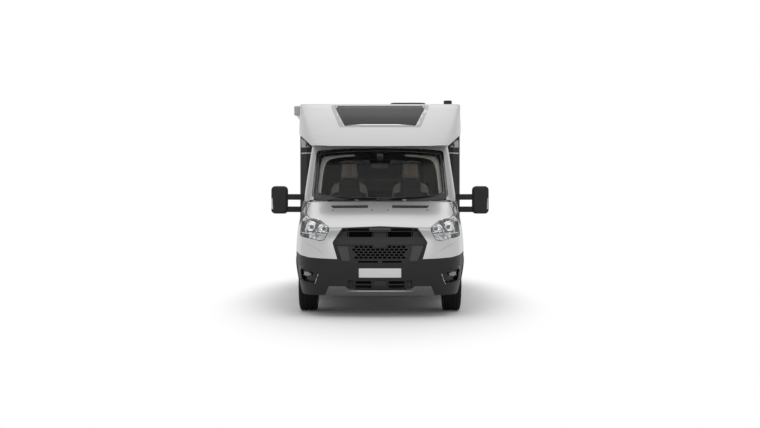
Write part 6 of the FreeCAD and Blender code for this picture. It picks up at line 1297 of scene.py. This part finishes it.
# the photograph's camera: level, dead ahead, 12 m from the bumper
EYE, LENS_MM, SENSOR_MM = (0, -15.495, 1.2535), 47.18, 36.0


def seen_rays(tree):
    """One for what is seen directly, in gloss or through glass, nought for what lights."""
    path = add(tree, "LightPath")
    total = path.outputs["Is Camera Ray"]
    for ray in ("Is Transmission Ray", "Is Glossy Ray"):
        total = maths(tree, "MAXIMUM", total, path.outputs[ray])
    return total


def make_world():
    """A white studio, even for light, with a dimmer ceiling in gloss."""
    world = bpy.data.worlds.new("studio")
    world.use_nodes = True
    tree = world.node_tree
    back_shade = tree.nodes["Background"]
    back_shade.inputs["Color"].default_value = (1, 1, 1, 1)
    span = add(tree, "MapRange")
    set_span(span, 0, 1, WORLD_LIGHT, 1.0)
    tree.links.new(seen_rays(tree), span.inputs["Value"])
    # the studio's ceiling is dimmer than its walls, for gloss alone
    place, level = add(tree, "TexCoord"), add(tree, "SeparateXYZ")
    dim = add(tree, "MapRange", interpolation_type="SMOOTHSTEP")
    set_span(dim, *CEILING_FROM, 0.0, CEILING_DIM)
    tree.links.new(place.outputs["Generated"], level.inputs["Vector"])
    tree.links.new(level.outputs["Z"], dim.inputs["Value"])
    gloss = add(tree, "LightPath").outputs["Is Glossy Ray"]
    share = maths(tree, "MULTIPLY", dim.outputs["Result"], gloss)
    rest = maths(tree, "SUBTRACT", 1.0, share)
    total = maths(tree, "MULTIPLY", rest, span.outputs["Result"])
    tree.links.new(total, back_shade.inputs["Strength"])
    bpy.context.scene.world = world


def make_floor():
    """A pale floor that keeps the shadow and fades into the white background."""
    bpy.ops.mesh.primitive_plane_add(size=160, location=(0, 0, 0))
    floor = bpy.context.object
    floor.name = "studio_floor"
    made, tree, shader = node_tree("studio_floor")
    shader.inputs["Roughness"].default_value = 0.95
    shader.inputs["Specular IOR Level"].default_value = 0.0
    rays = seen_rays(tree)
    paint = add(tree, "Mix", data_type="RGBA")
    paint.inputs[6].default_value = (FLOOR_LIT, FLOOR_LIT, FLOOR_LIT, 1)
    paint.inputs[7].default_value = (1, 1, 1, 1)
    tree.links.new(rays, paint.inputs[0])
    tree.links.new(paint.outputs[2], shader.inputs["Base Color"])
    lift = add(tree, "MapRange")
    set_span(lift, 0, 1, 0, FLOOR_LIFT)
    shader.inputs["Emission Color"].default_value = (1, 1, 1, 1)
    tree.links.new(rays, lift.inputs["Value"])
    tree.links.new(lift.outputs["Result"], shader.inputs["Emission Strength"])
    place = add(tree, "TexCoord")
    squash = add(tree, "Mapping", Scale=(1 / SHADOW_HALF[0], 1 / SHADOW_HALF[1], 0))
    reach = add(tree, "VectorMath", operation="LENGTH")
    fade = add(tree, "MapRange", interpolation_type="SMOOTHSTEP")
    set_span(fade, *SHADOW_FADE, 0, 1)
    white = add(tree, "Emission")
    white.inputs["Color"].default_value = (1, 1, 1, 1)
    mix = add(tree, "MixShader")
    tree.links.new(place.outputs["Object"], squash.inputs["Vector"])
    tree.links.new(squash.outputs["Vector"], reach.inputs[0])
    tree.links.new(reach.outputs["Value"], fade.inputs["Value"])
    tree.links.new(maths(tree, "MULTIPLY", fade.outputs["Result"], rays), mix.inputs["Fac"])
    tree.links.new(shader.outputs["BSDF"], mix.inputs[1])
    tree.links.new(white.outputs["Emission"], mix.inputs[2])
    tree.links.new(mix.outputs["Shader"], tree.nodes["Material Output"].inputs["Surface"])
    floor.data.materials.append(made)


def area_light(name, place, aim, size, power):
    """A rectangular lamp aimed at a point."""
    data = bpy.data.lights.new(name, "AREA")
    data.shape, data.size, data.size_y, data.energy = "RECTANGLE", size[0], size[1], power
    lamp = bpy.data.objects.new(name, data)
    bpy.context.collection.objects.link(lamp)
    lamp.location = place
    lamp.rotation_euler = (Vector(aim) - Vector(place)).to_track_quat("-Z", "Y").to_euler()


def make_camera():
    """The photograph's camera."""
    data = bpy.data.cameras.new("camera")
    data.lens, data.sensor_width = LENS_MM, SENSOR_MM
    data.clip_end = 300
    camera = bpy.data.objects.new("camera", data)
    bpy.context.collection.objects.link(camera)
    camera.location = EYE
    camera.rotation_euler = (math.pi / 2, 0, 0)
    bpy.context.scene.camera = camera


make_world()
make_floor()
area_light("overhead", (0, 0, 9), (0, 0, 0), (12, 16), 560)
area_light("front_fill", (0, -13, 5.5), (0, -2, 1.2), (10, 4), 150)
make_camera()

bpy.context.scene.view_settings.view_transform = "Standard"
